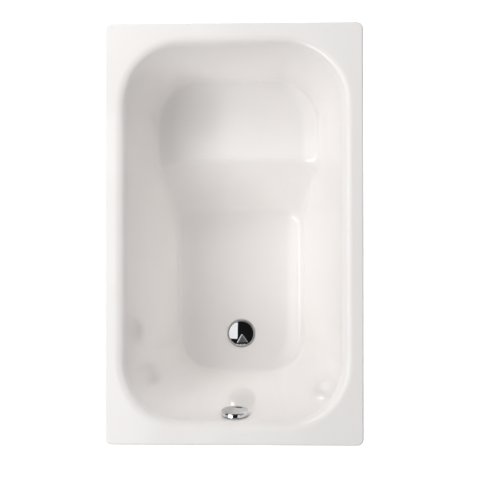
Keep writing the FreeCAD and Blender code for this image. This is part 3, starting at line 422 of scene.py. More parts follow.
def wall_sheet(lines, floor_normals, floor_level, counts, stop_share=1.0):
    """Points and normals of the shell down each line, from the skirt's edge to where the floor begins.

    In words: up the skirt, a quarter turn over the rim's edge, across the flat rim, round the lip to the
    wall's normal, down the wall, round the tight crease, and round the wide dish to the floor at floor_level.
    A line stops at stop_share of the dish's turn.
    """
    skirt_steps, edge_steps, rim_steps, lip_steps, wall_steps, crease_steps, dish_steps = counts
    total = len(lines["lean"])
    into = unit(np.column_stack([-lines["out"], lines["lean"]]))
    floor_normals = np.broadcast_to(floor_normals, into.shape)
    up = np.broadcast_to(UP, into.shape)

    def on_wall(depth):
        """Points of the wall's straight part at one depth or a row of depths for each line."""
        depth = depth[:, None] if depth.ndim == 1 else depth
        flat = lines["top"][:, None] + depth[..., None] * lines["drift"][:, None]
        level = np.broadcast_to(rim_level - depth[..., None], (*flat.shape[:2], 1))
        return np.concatenate([flat, level], axis=-1)

    edge = np.column_stack([lines["edge"], np.zeros(total)])
    edge_out = np.column_stack([lines["edge_out"], np.zeros(total)])
    heights = np.linspace(rim_level - skirt_height, rim_level - rim_edge_radius, skirt_steps + 1)[:-1]
    skirt = edge[:, None] + heights[None, :, None] * UP

    round_out = turn_between(edge_out, up, np.linspace(0, 1, edge_steps + 1))
    edge_centre = edge - rim_edge_radius * edge_out + (rim_level - rim_edge_radius) * UP
    rim_edge = edge_centre[:, None] + rim_edge_radius * round_out

    lip_depth = lip_radius * (1 - into[:, 2])
    lip_centre = on_wall(lip_depth)[:, 0] - lip_radius * into
    round_in = turn_between(up, into, np.linspace(0, 1, lip_steps + 1))
    lip = lip_centre[:, None] + lip_radius * round_in

    share = np.linspace(0, 1, rim_steps + 1)[1:-1, None]
    rim = rim_edge[:, -1:] * (1 - share) + lip[:, :1] * share

    middle, span = floor_round(into, floor_normals)
    crease_depth = rim_level - floor_level - span[:, 2]
    share = np.linspace(0, 1, wall_steps + 1)[1:-1]
    wall = on_wall(lip_depth[:, None] * (1 - share) + crease_depth[:, None] * share)

    crease_centre = on_wall(crease_depth)[:, 0] + crease_radius * into
    crease_turn = turn_between(into, middle, np.linspace(0, 1, crease_steps + 1))
    crease = crease_centre[:, None] - crease_radius * crease_turn
    dish_centre = crease_centre + (dish_radius - crease_radius) * middle
    stop = np.broadcast_to(stop_share, (total,))[:, None]
    dish_turn = turn_between(middle, floor_normals, np.linspace(0, 1, dish_steps + 1)[None, 1:] * stop)
    dish = dish_centre[:, None] - dish_radius * dish_turn

    points = [skirt, rim_edge, rim, lip, wall, crease, dish]
    normals = [edge_out[:, None], round_out, UP, round_in, into[:, None], crease_turn, dish_turn]
    normals = [np.broadcast_to(normal, part.shape) for normal, part in zip(normals, points)]
    return np.hstack(points), np.hstack(normals)


def step_profile():
    """The floor's line from the well over the sweep, the riser and the nose to the seat: (y, z) and normals.

    Level, an arc of the sweep's radius up to the riser's lean, a straight riser, the nose's arc, level again.
    """
    def arc(y, z, radius, angle):
        return np.column_stack([y + radius * np.sin(angle), z - radius * np.cos(angle)])

    level_rows, sweep_rows, riser_rows, nose_rows, seat_rows = 16, 20, 26, 16, 4
    angle = math.pi / 2 - riser_lean
    sweep = np.linspace(0, angle, sweep_rows + 1)
    nose = np.linspace(angle, 0, nose_rows + 1)
    sweep_line = arc(sweep_y, sweep_z, sweep_radius, sweep)
    nose_line = arc(nose_y, nose_z, -nose_radius, nose)
    share = np.linspace(0, 1, riser_rows + 1)[1:-1, None]
    riser = sweep_line[-1] * (1 - share) + nose_line[0] * share
    level = np.linspace(chord_y, sweep_y, level_rows + 1)[:-1]
    seat = np.linspace(nose_y, seat_join, seat_rows + 1)[1:]
    line = np.concatenate([
        np.column_stack([level, np.full(level_rows, well_level)]),
        sweep_line, riser, nose_line,
        np.column_stack([seat, np.full(seat_rows, seat_level)]),
    ])
    slanted = np.full(riser_rows - 1, angle)
    turns = np.concatenate([np.zeros(level_rows), sweep, slanted, nose, np.zeros(seat_rows)])
    return line, np.stack([0 * turns, -np.sin(turns), np.cos(turns)], axis=1)


def foot_floor(outer, centre, rings, offset, recess, well_end):
    """The well's floor round the waste, from the outer loop of points in to the hole.

    Each point lies on a ray from the waste's centre. The floor is level, and rises with the dish of the foot
    wall beyond its end. Inside the recess it follows rows of radius, share of the rise, and the radial and
    upward part of the normal. The rings crowd towards the recess.
    """
    away = outer[:, :2] - centre
    reach = np.linalg.norm(away, axis=1)
    way = away / reach[:, None]

    def floor_at(flat):
        """Points and normals of the floor over places along X and Y."""
        past = np.clip((well_end - flat[..., 1]) / dish_radius, 0, 1)
        level = well_level + dish_radius * (1 - np.sqrt(1 - past ** 2))
        normals = np.stack([0 * past, past, np.sqrt(1 - past ** 2)], axis=-1)
        return np.concatenate([flat, level[..., None]], axis=-1), normals

    clearance, crowding = 4.0, 1.5
    first = recess[0][0] + clearance
    share = (1 - np.linspace(0, 1, rings + 1)) ** crowding
    radius = first + (reach[:, None] - first) * share[None, :]
    points, normals = floor_at(centre + way[:, None] * radius[..., None])
    points = points - offset * normals
    bottom = well_level - recess_depth - offset
    rows, row_normals = [], []
    for radius, share, radial, upward in recess:
        flat = centre + way * radius
        top, top_normal = floor_at(flat)
        level = bottom + ((top - offset * top_normal)[:, 2] - bottom) * share
        rows.append(np.column_stack([flat, level]))
        row_normals.append(np.column_stack([-radial * way, np.full(len(way), upward)]))
    points = np.hstack([points, np.stack(rows, axis=1)])
    return points, np.hstack([normals, np.stack(row_normals, axis=1)])


def recess_rows(offset):
    """Rows of the pressed recess: rounded edges on the enamelled side, a plain step on the back."""
    hole = (waste_hole_radius, 0, 0, 1)
    if offset > 0:
        wide = recess_radius + offset
        return [(wide, 1, 0, 1), (wide, 1, 1, 0), (wide, 0, 1, 0), (wide, 0, 0, 1), hole]
    rows, quarter = [], math.pi / 2
    for side, start, end in ((1, 0, quarter), (-1, quarter, 0)):
        for turn in np.linspace(start, end, 5):
            reach = recess_radius + side * recess_round * (1 - math.sin(turn))
            bend = recess_round * (1 - math.cos(turn)) / recess_depth
            rows.append((reach, 1 - bend if side > 0 else bend, math.sin(turn), math.cos(turn)))
    return rows + [hole]


def window_ring(points, lines, rows, offset):
    """Ring of wall from the edge of a window in the grid to the overflow's round hole."""
    first, last = lines
    low, high = rows
    loop = np.concatenate([
        points[first:last, low], points[last, low:high], points[last:first:-1, high],
        points[first, high:low:-1], points[first:first + 1, low],
    ])
    centre = overflow_place - offset * foot_normal
    angle = np.arctan2((loop - centre) @ up_foot_wall, (loop - centre) @ X_WAY)[:, None]
    hole = centre + overflow_hole_radius * (np.cos(angle) * X_WAY + np.sin(angle) * up_foot_wall)
    share = np.linspace(0, 1, 5)[None, :, None]
    return loop[:, None] * (1 - share) + hole[:, None] * share


def shell_sheet(surface, counts, offset, slot, foot_rings, head_rows):
    """One side of the shell: the bath's own surface, or its back at an offset below it.

    Returns the skirt's edge loop, the loop round the waste hole and the loop round the overflow hole.
    """
    def add(points, normals, keep=None, shifted=True):
        """Add a patch, moved to the offset unless it is there already; returns its points."""
        moved = points - offset * normals if shifted else points
        surface.add(moved, normals * (-1 if offset > 0 else 1), slot, keep)
        return moved

    line, line_normals = step_profile()
    side_into = unit(np.array([-1.0, 0.0, side_slope]))
    span = floor_round(np.broadcast_to(side_into, line_normals.shape), line_normals)[1]
    right = side_lines(line[:, 0] + span[:, 1])
    points, normals = wall_sheet(right, line_normals, line[:, 1], counts)
    moved = add(points, normals)
    flip = np.array([-1, 1, 1])
    add(points * flip, normals * flip)
    skirt = [moved[:, 0]]

    head = end_lines(1, half_length - rim_head, head_slope, seat_join)
    across = len(head["lean"])
    shares = np.linspace(1, -1, across)[None, :, None]
    floor = points[:, -1:, :] * np.where(np.arange(3) == 0, shares, 1)
    add(floor, line_normals[:, None])

    points, normals = wall_sheet(head, UP, seat_level, counts)
    moved = add(points, normals)
    skirt.append(moved[:, 0])
    share = np.linspace(0, 1, head_rows + 1)[:, None, None]
    seat = floor[-1][None] * (1 - share) + points[None, :, -1] * share
    add(seat, UP)
    skirt.append((skirt[0] * flip)[::-1])

    foot = end_lines(-1, half_length - rim_foot, foot_slope, -chord_y)
    # The middle half of the foot wall leaves all of push_share to the floor, and the rest less and less
    middle = np.abs(foot["top"][:, 0]) / (opening_half - opening_corner)
    on_end_wall = np.abs(foot["out"][:, 1]) > 0.9999
    blend = np.clip((1 - middle) * 2, 0, 1) * on_end_wall
    stop = 1 - push_share * blend * blend * (3 - 2 * blend)
    points, normals = wall_sheet(foot, UP, well_level, counts, stop)
    span = floor_round(foot_normal[None], UP[None])[1][0]
    well_end = foot_wall_y + (well_depth - span[2]) * foot_slope - span[1]
    wall_start = sum(counts[:4]) + 1
    depth = rim_level - points[across // 2, :, 2]
    wall_depths = depth[wall_start:wall_start + counts[4]]
    window_ends = (overflow_depth - window_half, overflow_depth + window_half)
    window_rows = [int(np.argmin(np.abs(wall_depths - end))) + wall_start for end in window_ends]
    half = int(np.sum(np.abs(foot["top"][:, 0]) < window_half) // 2)
    window_lines = (across // 2 - half, across // 2 + half)
    keep = np.ones((across - 1, points.shape[1] - 1), bool)
    keep[slice(*window_lines), slice(*window_rows)] = False
    moved = add(points, normals, keep=keep)
    skirt.append(moved[::-1, 0])
    ring = window_ring(moved, window_lines, window_rows, offset)
    add(ring, foot_normal, shifted=False)

    outer = np.concatenate([points[:, -1], floor[0][::-1][1:]])
    centre = np.array([0.0, waste_y])
    rounds, round_normals = foot_floor(outer, centre, foot_rings, offset, recess_rows(offset), well_end)
    add(rounds, round_normals, shifted=False)
    return np.concatenate(skirt), rounds[:, -1], ring[:, -1]


def bath_shell():
    """Pressed steel shell, enamelled white inside and on the rim, with a grey ground coat on its back."""
    surface = Surface()
    front_counts, back_counts = (2, 6, 5, 12, 24, 12, 12), (2, 4, 3, 6, 10, 6, 6)
    front = shell_sheet(surface, front_counts, offset=0.0, slot=0, foot_rings=22, head_rows=12)
    back = shell_sheet(surface, back_counts, offset=sheet, slot=1, foot_rings=8, head_rows=6)
    skirt_strip = np.stack([front[0], back[0]], axis=1)
    surface.add(skirt_strip, -UP)
    for loop, axis in zip(front[1:], (UP, foot_normal)):
        inward = unit(loop.mean(0) - loop)
        surface.add(np.stack([loop, loop - sheet * axis], axis=1), inward[:, None])
    piece = put("enamelled_shell", surface.mesh("enamelled_shell"), "bath", "enamel", "bath_shell")
    piece.data.materials.append(back_finish)


bath_shell()


# Turned pieces


def along(start, end, steps=1):
    """Rows of a straight stretch of profile: radius, height, and the normal to the left of the way."""
    start, end = np.array(start, float), np.array(end, float)
    way = unit(end - start)
    share = np.linspace(0, 1, steps + 1)[:, None]
    return np.hstack([start * (1 - share) + end * share, np.tile([-way[1], way[0]], (steps + 1, 1))])


def rounded(centre, radius, start, end, steps, hollow=False):
    """Rows of an arc of profile between two angles in degrees; a hollow one faces its centre."""
    angle = np.radians(np.linspace(start, end, steps + 1))
    way = np.stack([np.cos(angle), np.sin(angle)], axis=1)
    return np.hstack([np.array(centre) + radius * way, -way if hollow else way])


def domed(radius, top, ball, steps):
    """Rows of a shallow dome from its middle out to a radius, on a ball whose top is at the given height."""
    reach = math.degrees(math.asin(radius / ball))
    return rounded((0, top - ball), ball, 90, 90 - reach, steps)


def turned(*rows, steps=96, origin=(0, 0, 0), axes=np.eye(3), outline=None):
    """Surface of a profile turned about its axis: points and normals on a grid of angle by profile row.

    An outline, a function of the angle, shrinks the radii near the rim, as a notch does; the normals then
    come from the grid itself.
    """
    profile = np.concatenate(rows)
    angle = np.linspace(0, 2 * math.pi, steps + 1)
    radius = np.broadcast_to(profile[:, 0], (steps + 1, len(profile)))
    if outline is not None:
        rim_sharpness = 10
        near_rim = (radius / radius.max()) ** rim_sharpness
        radius = radius * (1 - (1 - outline(angle)[:, None]) * near_rim)
    round_x, round_y = np.cos(angle)[:, None], np.sin(angle)[:, None]
    height, upward = (np.broadcast_to(profile[:, i], radius.shape) for i in (1, 3))
    points = np.stack([radius * round_x, radius * round_y, height], axis=-1)
    if outline is None:
        normals = np.stack([profile[:, 2] * round_x, profile[:, 2] * round_y, upward], axis=-1)
    else:
        round_way = np.gradient(np.concatenate([points[-2:-1], points, points[1:2]]), axis=0)[1:-1]
        normals = np.cross(round_way, np.gradient(points, axis=1))
        length = np.linalg.norm(normals, axis=-1, keepdims=True)
        axial = np.where(profile[:, 1:2] > profile[:, 1].mean(), 1.0, -1.0)[None] * UP
        normals = np.where(length > 1e-9, -normals / np.maximum(length, 1e-9), axial)
    return np.array(origin) + points @ axes.T, normals @ axes.T


def turned_piece(name, body, slot, replaced, *grids):
    """Piece of one finish made from grids of points and normals."""
    surface = Surface()
    for grid in grids:
        surface.add(*grid)
    put(name, surface.mesh(name), body, slot, replaced)


def dome_and_roll(radius, rise, roll, top, steps):
    """Rows of a shallow dome whose edge rolls over to upright, and the radius and height where it ends."""
    ball = (radius ** 2 + rise ** 2) / (2 * rise)
    shoulder = radius - roll
    lean = math.asin(shoulder / ball)
    level = top - ball + ball * math.cos(lean)
    centre = (shoulder - roll * math.sin(lean), level - roll * math.cos(lean))
    rolled = rounded(centre, roll, 90 - math.degrees(lean), 0, steps)[1:]
    return np.concatenate([domed(shoulder, top, ball, 24), rolled]), centre[0] + roll, centre[1]


def plug_cover():
    """Cover of the plug: a shallow polished dome whose edge rolls over into a thin side."""
    low, high = edges_of("plug_cap")
    rise, roll, ease = 3.5, 1.0, 0.4
    dome, edge, side_top = dome_and_roll(high[0], rise, roll, high[2], 8)
    rows = (
        dome,
        along((edge, side_top), (edge, low[2] + ease)),
        rounded((edge - ease, low[2] + ease), ease, 0, -90, 4),
        along((edge - ease, low[2]), (0, low[2]), 2),
    )
    turned_piece("plug_cover", "plug", "chrome", "plug_cap", turned(*rows, origin=(0, waste_y, 0)))


def turning_knob():
    """Knob over the overflow: a shallow dome with a round edge and a notch at its foot, hollow behind."""
    radius, wall, depth, rise, gap, roll, notch, lip = 36.0, 2.2, 15.0, 5.0, 3.2, 4.0, 3.0, 0.7
    axes = np.array([X_WAY, -up_foot_wall, foot_normal]).T
    top = gap + depth
    dome, edge, side_top = dome_and_roll(radius, rise, roll, top, 10)
    roof = top - rise - wall
    rows = (
        dome,
        along((edge, side_top), (edge, gap + lip), 6)[1:],
        rounded((edge - lip, gap + lip), lip, 0, -180, 8)[1:],
        along((edge - 2 * lip, gap + lip), (edge - wall, roof - lip), 4)[1:],
        rounded((edge - wall - lip, roof - lip), lip, 0, 90, 4, hollow=True)[1:],
        along((edge - wall - lip, roof), (0, roof), 6)[1:],
    )

    def outline(angle):
        """Share of the radius left by a round notch that is centred on the rim, down the wall."""
        off = np.abs(angle - math.pi / 2)
        inside = np.clip(notch ** 2 - (radius * np.sin(off)) ** 2, 0, None)
        cut = (radius * np.cos(off) - np.sqrt(inside)) / radius
        return np.where(off < 2 * math.asin(notch / radius / 2), cut, 1.0)

    grid = turned(*rows, steps=360, origin=overflow_place, axes=axes, outline=outline)
    turned_piece("turning_knob", "knob", "chrome", "overflow_knob", grid)


plug_cover()
turning_knob()


# Fasteners and feet

foot_names = ("foot_left", "foot_right", "seat_left", "seat_right")
thread_play = 0.05
spindle_radius, spindle_pitch = 5.0, 1.5


def foot_place(name):
    """Place on the floor of a foot's axis."""
    return sum(edges_of("spindle_" + name)) / 2 * np.array([1, 1, 0])


def threaded(radius, pitch, low, high, centre):
    """Patches of a threaded rod on centre: the radius is a triangle wave of height, shifted a pitch a turn.

    The wave is cut flat at crest and root, is 0.6 of the pitch deep, and both ends taper over one pitch.
    """
    steps, rows_per_pitch, depth, cut = 24, 6, 0.6, 0.125
    rows = int(rows_per_pitch * (high - low) / pitch)
    angle = np.linspace(0, 2 * math.pi, steps + 1)[:, None]
    height = np.linspace(low, high, rows + 1)[None, :]
    turn = (height / pitch - angle / (2 * math.pi)) % 1
    wave = np.clip((1 + 2 * cut) * np.abs(2 * turn - 1) - cut, 0, 1)
    taper = np.clip(pitch - np.minimum(height - low, high - height), 0, None)
    reach = radius - depth * pitch * wave * (1 - taper / pitch) - depth * taper
    slope = np.gradient(reach, axis=1) / (height[0, 1] - height[0, 0])
    level = np.broadcast_to(height, reach.shape)
    points = np.stack([reach * np.cos(angle), reach * np.sin(angle), level], axis=-1) + centre
    ways = [np.broadcast_to(part, reach.shape) for part in (np.cos(angle), np.sin(angle), -slope)]
    patches = [(points, unit(np.stack(ways, axis=-1)))]
    for row, way in ((0, -UP), (-1, UP)):
        axis = np.broadcast_to(centre + level[0, row] * UP, points[:, row].shape)
        patches.append((np.stack([points[:, row], axis], axis=1), way))
    return patches


def hexagon_nut(flats, low, high, bore, centre):
    """Patches of a hexagon nut: six flats cut by a 30 degree cone above and below, round a bore."""
    half, cone = flats / 2, math.tan(math.radians(30))
    local = np.radians(np.linspace(-30, 30, 9))[:, None]
    corner = half / np.cos(local)
    drop = (corner - half) * cone
    patches = []
    for side in range(6):
        facing = math.radians(60 * side + 30)
        way = np.stack([np.cos(facing + local), np.sin(facing + local), 0 * local], axis=-1)
        heights = np.hstack([low + drop, high - drop])
        flat_way = np.array([math.cos(facing), math.sin(facing), 0])
        patches.append((centre + corner[..., None] * way + heights[..., None] * UP, flat_way))
        wall = np.array([low, high])[None, :, None] * UP
        patches.append((centre + bore * way + wall, -way))
        for level, up in ((low, -UP), (high, UP)):
            rim = corner[..., None] * way + level * UP - drop[..., None] * up
            circle, edge = half * way + level * UP, bore * way + level * UP
            patches.append((centre + np.concatenate([rim, circle], axis=1), unit(up + cone * way)))
            patches.append((centre + np.concatenate([circle, edge], axis=1), up))
    return patches


def washer(radius, bore, low, high, centre):
    """Patches of a flat washer with rounded outer edges."""
    roll = (high - low) / 3
    rows = (
        along((bore, low), (bore, high)),
        along((bore, high), (radius - roll, high)),
        rounded((radius - roll, high - roll), roll, 90, 0, 4),
        rounded((radius - roll, low + roll), roll, 0, -90, 4),
        along((radius - roll, low), (bore, low)),
    )
    return [turned(*rows, steps=48, origin=centre)]


def foot_pad(base, top):
    """Patches of a moulded foot pad: a cone on a rim, all edges rounded, with a socket for the spindle."""
    radius, rim, top_radius, bottom, ease = 24.0, 5.0, 11.0, 4.0, 1.5
    socket = spindle_radius + thread_play
    lean = math.atan2(radius - top_radius, top - rim)
    degrees = math.degrees(lean)
    upper = (top_radius - ease * (1 - math.sin(lean)) / math.cos(lean), top - ease)
    lower = (radius - ease, rim - ease * (1 - math.cos(lean)) / math.sin(lean))
    rows = (
        along((0, bottom), (socket, bottom)),
        along((socket, bottom), (socket, top)),
        along((socket, top), (upper[0], top)),
        rounded(upper, ease, 90, degrees, 6),
        rounded(lower, ease, degrees, 0, 8),
        along((radius, lower[1]), (radius, ease)),
        rounded((radius - ease, ease), ease, 0, -90, 6),
        along((radius - ease, 0), (0, 0)),
    )
    return [turned(*rows, steps=72, origin=base)]


def feet():
    """Four adjustable feet: fine threaded spindles with a spanner hexagon, in plastic pads."""
    flats, height, bore, gap = 14.0, 6.0, 4.2, 0.3
    for name in foot_names:
        pad, spindle = "pad_" + name, "spindle_" + name
        low, high = edges_of(spindle)
        place, top = foot_place(name), edges_of(pad)[1][2]
        rod = threaded(spindle_radius, spindle_pitch, low[2], high[2], place)
        hexagon = hexagon_nut(flats, top + gap, top + gap + height, bore, place)
        turned_piece("threaded_" + spindle, name + "_spindle", "zinc_fastener", spindle, *rod, *hexagon)
        turned_piece("moulded_" + pad, name + "_pad", "black_plastic", pad, *foot_pad(place, top))


def rail_fasteners():
    """Studs, washers and nuts that hold the two rails, and the weld nuts and lock nuts of the feet."""
    studs, rings, nuts, weld_nuts, lock_nuts = [], [], [], [], []
    off_middle, radius, pitch, below = 70.0, 4.0, 1.25, 13.6
    ring_radius, ring_height, flats, height = 8.5, 1.6, 13.0, 6.5
    bore = radius + thread_play
    for rail in ("foot_rail", "seat_rail"):
        low, high = edges_of(rail)
        under = low[2] - ring_height
        for side in (-1, 1):
            place = np.array([side * off_middle, (low[1] + high[1]) / 2, 0])
            studs += threaded(radius, pitch, low[2] - below, high[2], place)
            rings += washer(ring_radius, bore, under, low[2], place)
            nuts += hexagon_nut(flats, under - height, under, bore, place)
    flats, weld_height, lock_height, bore = 17.0, 8.0, 5.0, spindle_radius + thread_play
    levels = {"foot": edges_of("foot_rail")[0][2], "seat": edges_of("post_left")[0][2]}
    for name in foot_names:
        place, top = foot_place(name), levels[name[:4]]
        joint = top - weld_height
        weld_nuts += hexagon_nut(flats, joint, top, bore, place)
        lock_nuts += hexagon_nut(flats, joint - lock_height, joint, bore, place)
    pieces = (
        ("threaded_weld_studs", "weld_studs", studs),
        ("rounded_stud_washers", "stud_washers", rings),
        ("chamfered_stud_nuts", "stud_nuts", nuts),
        ("chamfered_spindle_nuts", "spindle_nuts", weld_nuts),
        ("chamfered_lock_nuts", "lock_nuts", lock_nuts),
    )
    for name, replaced, patches in pieces:
        turned_piece(name, "bath", "zinc_fastener", replaced, *patches)


feet()
rail_fasteners()


# Sound deadening sheets

felt_thickness, wall_felt_length = 3.0, 130.0


def glued_sheet(name, middle_top, across, down, width, length):
    """Bitumen sheet on the shell's back, seen with its free face outwards.

    The grid is a rectangle whose corners are drawn on to quarter circles. The free face stands at the sheet's
    thickness, rounds off towards the edge, and is stamped with a waffle: a groove along each of two crossed
    sets of lines.
    """
    corner, edge, pitch, groove, groove_share, step = 9.0, 2.5, 14.0, 0.7, 0.125, 1.75
    out = np.cross(across, down)
    u = np.linspace(-width / 2, width / 2, int(width / step) + 1)[:, None]
    v = np.linspace(-length / 2, length / 2, int(length / step) + 1)[None, :]
    u, v = np.broadcast_arrays(u, v)
    from_edge = np.minimum(width / 2 - np.abs(u), length / 2 - np.abs(v))
    over_u = np.clip(np.abs(u) - width / 2 + corner, 0, None)
    over_v = np.clip(np.abs(v) - length / 2 + corner, 0, None)
    draw = np.maximum(over_u, over_v) / np.maximum(np.hypot(over_u, over_v), 1e-9)
    draw = np.where((over_u > 0) & (over_v > 0), draw, 1)
    drawn_u = np.sign(u) * (np.abs(u) - over_u * (1 - draw))
    drawn_v = np.sign(v) * (np.abs(v) - over_v * (1 - draw))
    near = np.clip(1 - from_edge / edge, 0, 1)
    free = felt_thickness - edge * (1 - np.sqrt(1 - near ** 2))
    crossed = [np.abs(np.cos(math.pi * (drawn_u + sign * drawn_v) / pitch)) for sign in (-1, 1)]
    stamp = groove * np.clip((np.maximum(*crossed) - 1) / groove_share + 1, 0, 1) * (near == 0)
    flat = middle_top + drawn_u[..., None] * across + (drawn_v[..., None] + length / 2) * down
    face = flat + (free - stamp)[..., None] * out
    normals = unit(np.cross(np.gradient(face, axis=0), np.gradient(face, axis=1)))
    surface = Surface()
    surface.add(face, normals)
    surface.add(flat, -out)
    for line in (np.s_[0], np.s_[-1], np.s_[:, 0], np.s_[:, -1]):
        side = np.stack([flat[line], face[line]], axis=1)
        surface.add(side, unit(flat[line] - flat.mean((0, 1)))[:, None])
    put("stamped_" + name, surface.mesh("stamped_" + name), "bath", "bitumen_sheet", name)


def sound_sheets():
    """Two sheets under the seat and the well's floor, one on the back wall and one on each side wall."""
    for name in ("seat_pad", "floor_pad"):
        low, high = edges_of(name)
        glued_sheet(name, np.array([0, high[1], high[2]]), X_WAY, -Y_WAY, *(high - low)[:2])
    walls = (
        ("back_pad", head_draft, Y_WAY),
        ("side_pad_left", side_draft, -X_WAY),
        ("side_pad_right", side_draft, X_WAY),
    )
    for name, draft, outward in walls:
        low, high = edges_of(name)
        lean = math.radians(draft)
        across = np.cross(UP, outward)
        down = -UP * math.cos(lean) - outward * math.sin(lean)
        reach = np.max(np.array([low, high]) @ outward) - felt_thickness * math.cos(lean)
        top = (low + high) / 2 * np.abs(across) + reach * outward + high[2] * UP
        glued_sheet(name, top, -across, down, abs((high - low) @ across), wall_felt_length)


sound_sheets()


# Pieces kept from the frame, with their sharp edges eased


def eased(name, slot, width):
    """Copy of a node with its doubles merged, its flat faces joined and its sharp edges rounded a little."""
    mesh = frame["nodes"][name].data.copy()
    mesh.name = "eased_" + name
    work = bmesh.new()
    work.from_mesh(mesh)
    bmesh.ops.remove_doubles(work, verts=work.verts, dist=0.00001)
    bmesh.ops.dissolve_limit(work, angle_limit=math.radians(1), verts=work.verts, edges=work.edges)
    work.to_mesh(mesh)
    work.free()
    mesh.shade_smooth()
    mesh.set_sharp_from_angle(angle=math.radians(32))
    body = next(part for part, names in frame["record"]["behaviour"]["bodies"].items() if name in names)
    piece = put("eased_" + name, mesh, body, slot, name)
    bevel = piece.modifiers.new("eased_edges", "BEVEL")
    bevel.width = width * MM
    bevel.segments = 2
    bevel.limit_method = "ANGLE"
    bevel.angle_limit = math.radians(40)
    bevel.harden_normals = True


edge_widths = {
    "foot_rail": 0.5, "seat_rail": 0.5, "post_left": 0.5, "post_right": 0.5, "leg_brace": 0.7,
    "rail_caps": 0.8, "bonding_lug": 0.5, "trap_body": 0.8, "trap_nut": 0.5, "outlet_nut": 0.5,
    "outlet_pipe": 0.6, "waste_pot": 0.6, "overflow_body": 0.6, "pipe_nut_top": 0.5, "pipe_nut_bottom": 0.5,
    "overflow_cover": 0.4, "waste_flange": 0.4, "cable_clips": 0.3, "cable_drum": 0.3, "lift_lever": 0.3,
}
for part in frame["record"]["subparts"]:
    if part["node"] in edge_widths:
        eased(part["node"], part["material_slot"], edge_widths[part["node"]])


# Floor, lights and camera


def glowing(name, points, faces, glow, finish="_glow", colour="#000000", roughness=1.0, seen=False):
    """Mesh of the studio that glows; where it isn't seen, it shows only mirrored in the bath."""
    mesh = bpy.data.meshes.new(name)
    mesh.from_pydata(points, [], faces)
    made = linked(name, mesh)
    made.visible_camera = made.visible_shadow = seen
    coat, glaze = new_finish(name + finish, Roughness=roughness)[::2]
    glaze.inputs["Base Color"].default_value = linear(colour)
    glaze.inputs["Emission Color"].default_value = linear("#FFFFFF")
    glaze.inputs["Emission Strength"].default_value = glow
    mesh.materials.append(coat)


def floor():
    """Plain white floor, large enough to fill every view, and lower than the feet reach when wound out."""
    reach, level = 30.0, -0.04
    points = [(x * reach, y * reach, level) for x, y in ((-1, -1), (1, -1), (1, 1), (-1, 1))]
    glowing("studio_floor", points, [(0, 1, 2, 3)], floor_glow, "_paint", "#FFFFFF", 0.9, True)


def soft_box(name, place, size, watts, mirrored=True):
    """Area light facing the bath, hidden from the camera, and from reflections unless it is mirrored."""
    lamp = bpy.data.lights.new(name, "AREA")
    lamp.shape = "RECTANGLE"
    lamp.size, lamp.size_y = size
    lamp.energy = watts
    made = linked(name, lamp)
    made.location = place
    made.rotation_euler = (Vector(bath_middle) - Vector(place)).to_track_quat("-Z", "Y").to_euler()
    made.visible_camera = False
    made.visible_glossy = mirrored


def surroundings():
    """Nearly dark studio, lit by its lights and cards, that the camera sees as pure white behind the bath."""
    world = bpy.data.worlds.new("white_backdrop")
    world.use_nodes = True
    tree = world.node_tree
    tree.nodes.clear()
    seen = node(tree, "ShaderNodeLightPath").outputs["Is Camera Ray"]
    span = node(tree, "ShaderNodeMapRange", {"Value": seen, "To Min": room_light, "To Max": 1.0})
    sky = node(tree, "ShaderNodeBackground", {"Color": linear("#FFFFFF"), "Strength": span.outputs[0]})
    node(tree, "ShaderNodeOutputWorld", {"Surface": sky.outputs[0]})
    bpy.context.scene.world = world


def ceiling_card(name, corners, glow):
    """Flat card high over the bath, that shows in the polished cover and softens the gloss of the walls."""
    level = 2.36
    glowing(name, [(x, y, level) for x, y in corners], [tuple(range(len(corners)))], glow)


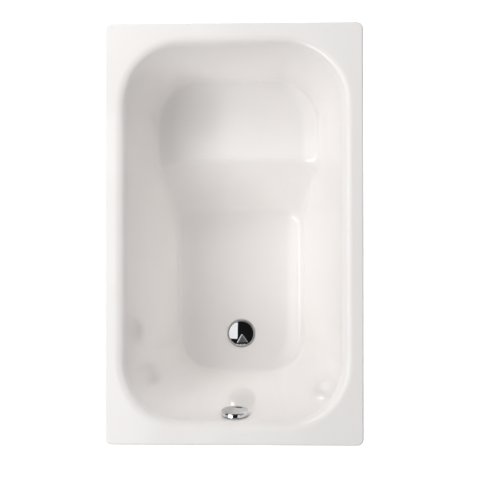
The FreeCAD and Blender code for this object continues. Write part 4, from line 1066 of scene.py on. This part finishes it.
def curved_strip(name, radius, bearings, levels, glow):
    """Upright strip bent round the bath, that draws one thin bright line along each round edge it faces."""
    steps = 40
    angle = np.radians(np.linspace(*bearings, steps + 1))
    points = [(radius * math.cos(a), radius * math.sin(a), level) for a in angle for level in levels]
    faces = [(2 * i, 2 * i + 1, 2 * i + 3, 2 * i + 2) for i in range(steps)]
    glowing(name, points, faces, glow)


def camera():
    """Camera high over the bath, a little to the right, looking almost straight down through a long lens."""
    data = bpy.data.cameras.new("overhead_camera")
    data.lens, data.sensor_width = 119.6, 36.0
    made = linked("overhead_camera", data)
    place, aim = Vector((0.2033, -0.0431, 4.5648)), Vector((0.016, -0.0153, rim_level * MM))
    back = (place - aim).normalized()
    right = Vector((0.0012, 1.0, 0.0069)).cross(back).normalized()
    above = back.cross(right)
    made.matrix_world = Matrix.Translation(place) @ Matrix((right, above, back)).transposed().to_4x4()
    data.clip_end = 100.0
    bpy.context.scene.camera = made


room_light = 0.01
floor_glow = 1.0
bath_middle = (0.0, 0.0, 0.45)
soft_box("near_head_left", (-1.0, 1.1, 1.9), (1.1, 1.1), 10.5, False)
soft_box("head_softbox", (0.0, 2.4, 2.0), (2.6, 1.4), 21.0, False)
soft_box("foot_left_softbox", (-1.4, -1.5, 2.2), (1.5, 1.5), 13.5)
soft_box("over_foot_softbox", (0.0, -2.2, 2.8), (1.6, 0.8), 9.5, False)
soft_box("right_softbox", (2.0, 0.0, 1.5), (1.0, 1.6), 4.5)
soft_box("foot_right_softbox", (1.4, -1.5, 2.2), (1.0, 1.0), 2.5)
curved_strip("left_strip", 2.6, (112, 240), (2.7, 3.1), 7.0)
ceiling_card("left_card", [(-1.6, -0.8), (-0.42, -0.8), (-0.375, -0.6), (-0.375, 0.45), (-1.6, 0.45)], 1.1)
ceiling_card("right_card", [(0.9, -1.2), (2.3, -1.2), (2.3, 0.6), (0.9, 0.6)], 0.6)
ceiling_card("left_leg", [(-0.47, -1.12), (-0.38, -1.12), (-0.01, -0.44), (-0.09, -0.44)], 0.8)
ceiling_card("right_leg", [(0.34, -1.08), (0.42, -1.08), (-0.01, -0.44), (-0.08, -0.44)], 0.35)
ceiling_card("between_legs", [(-0.36, -1.1), (0.34, -1.06), (-0.05, -0.5)], 0.1)
surroundings()
floor()
camera()

scene = bpy.context.scene
scene.view_settings.view_transform = "Standard"
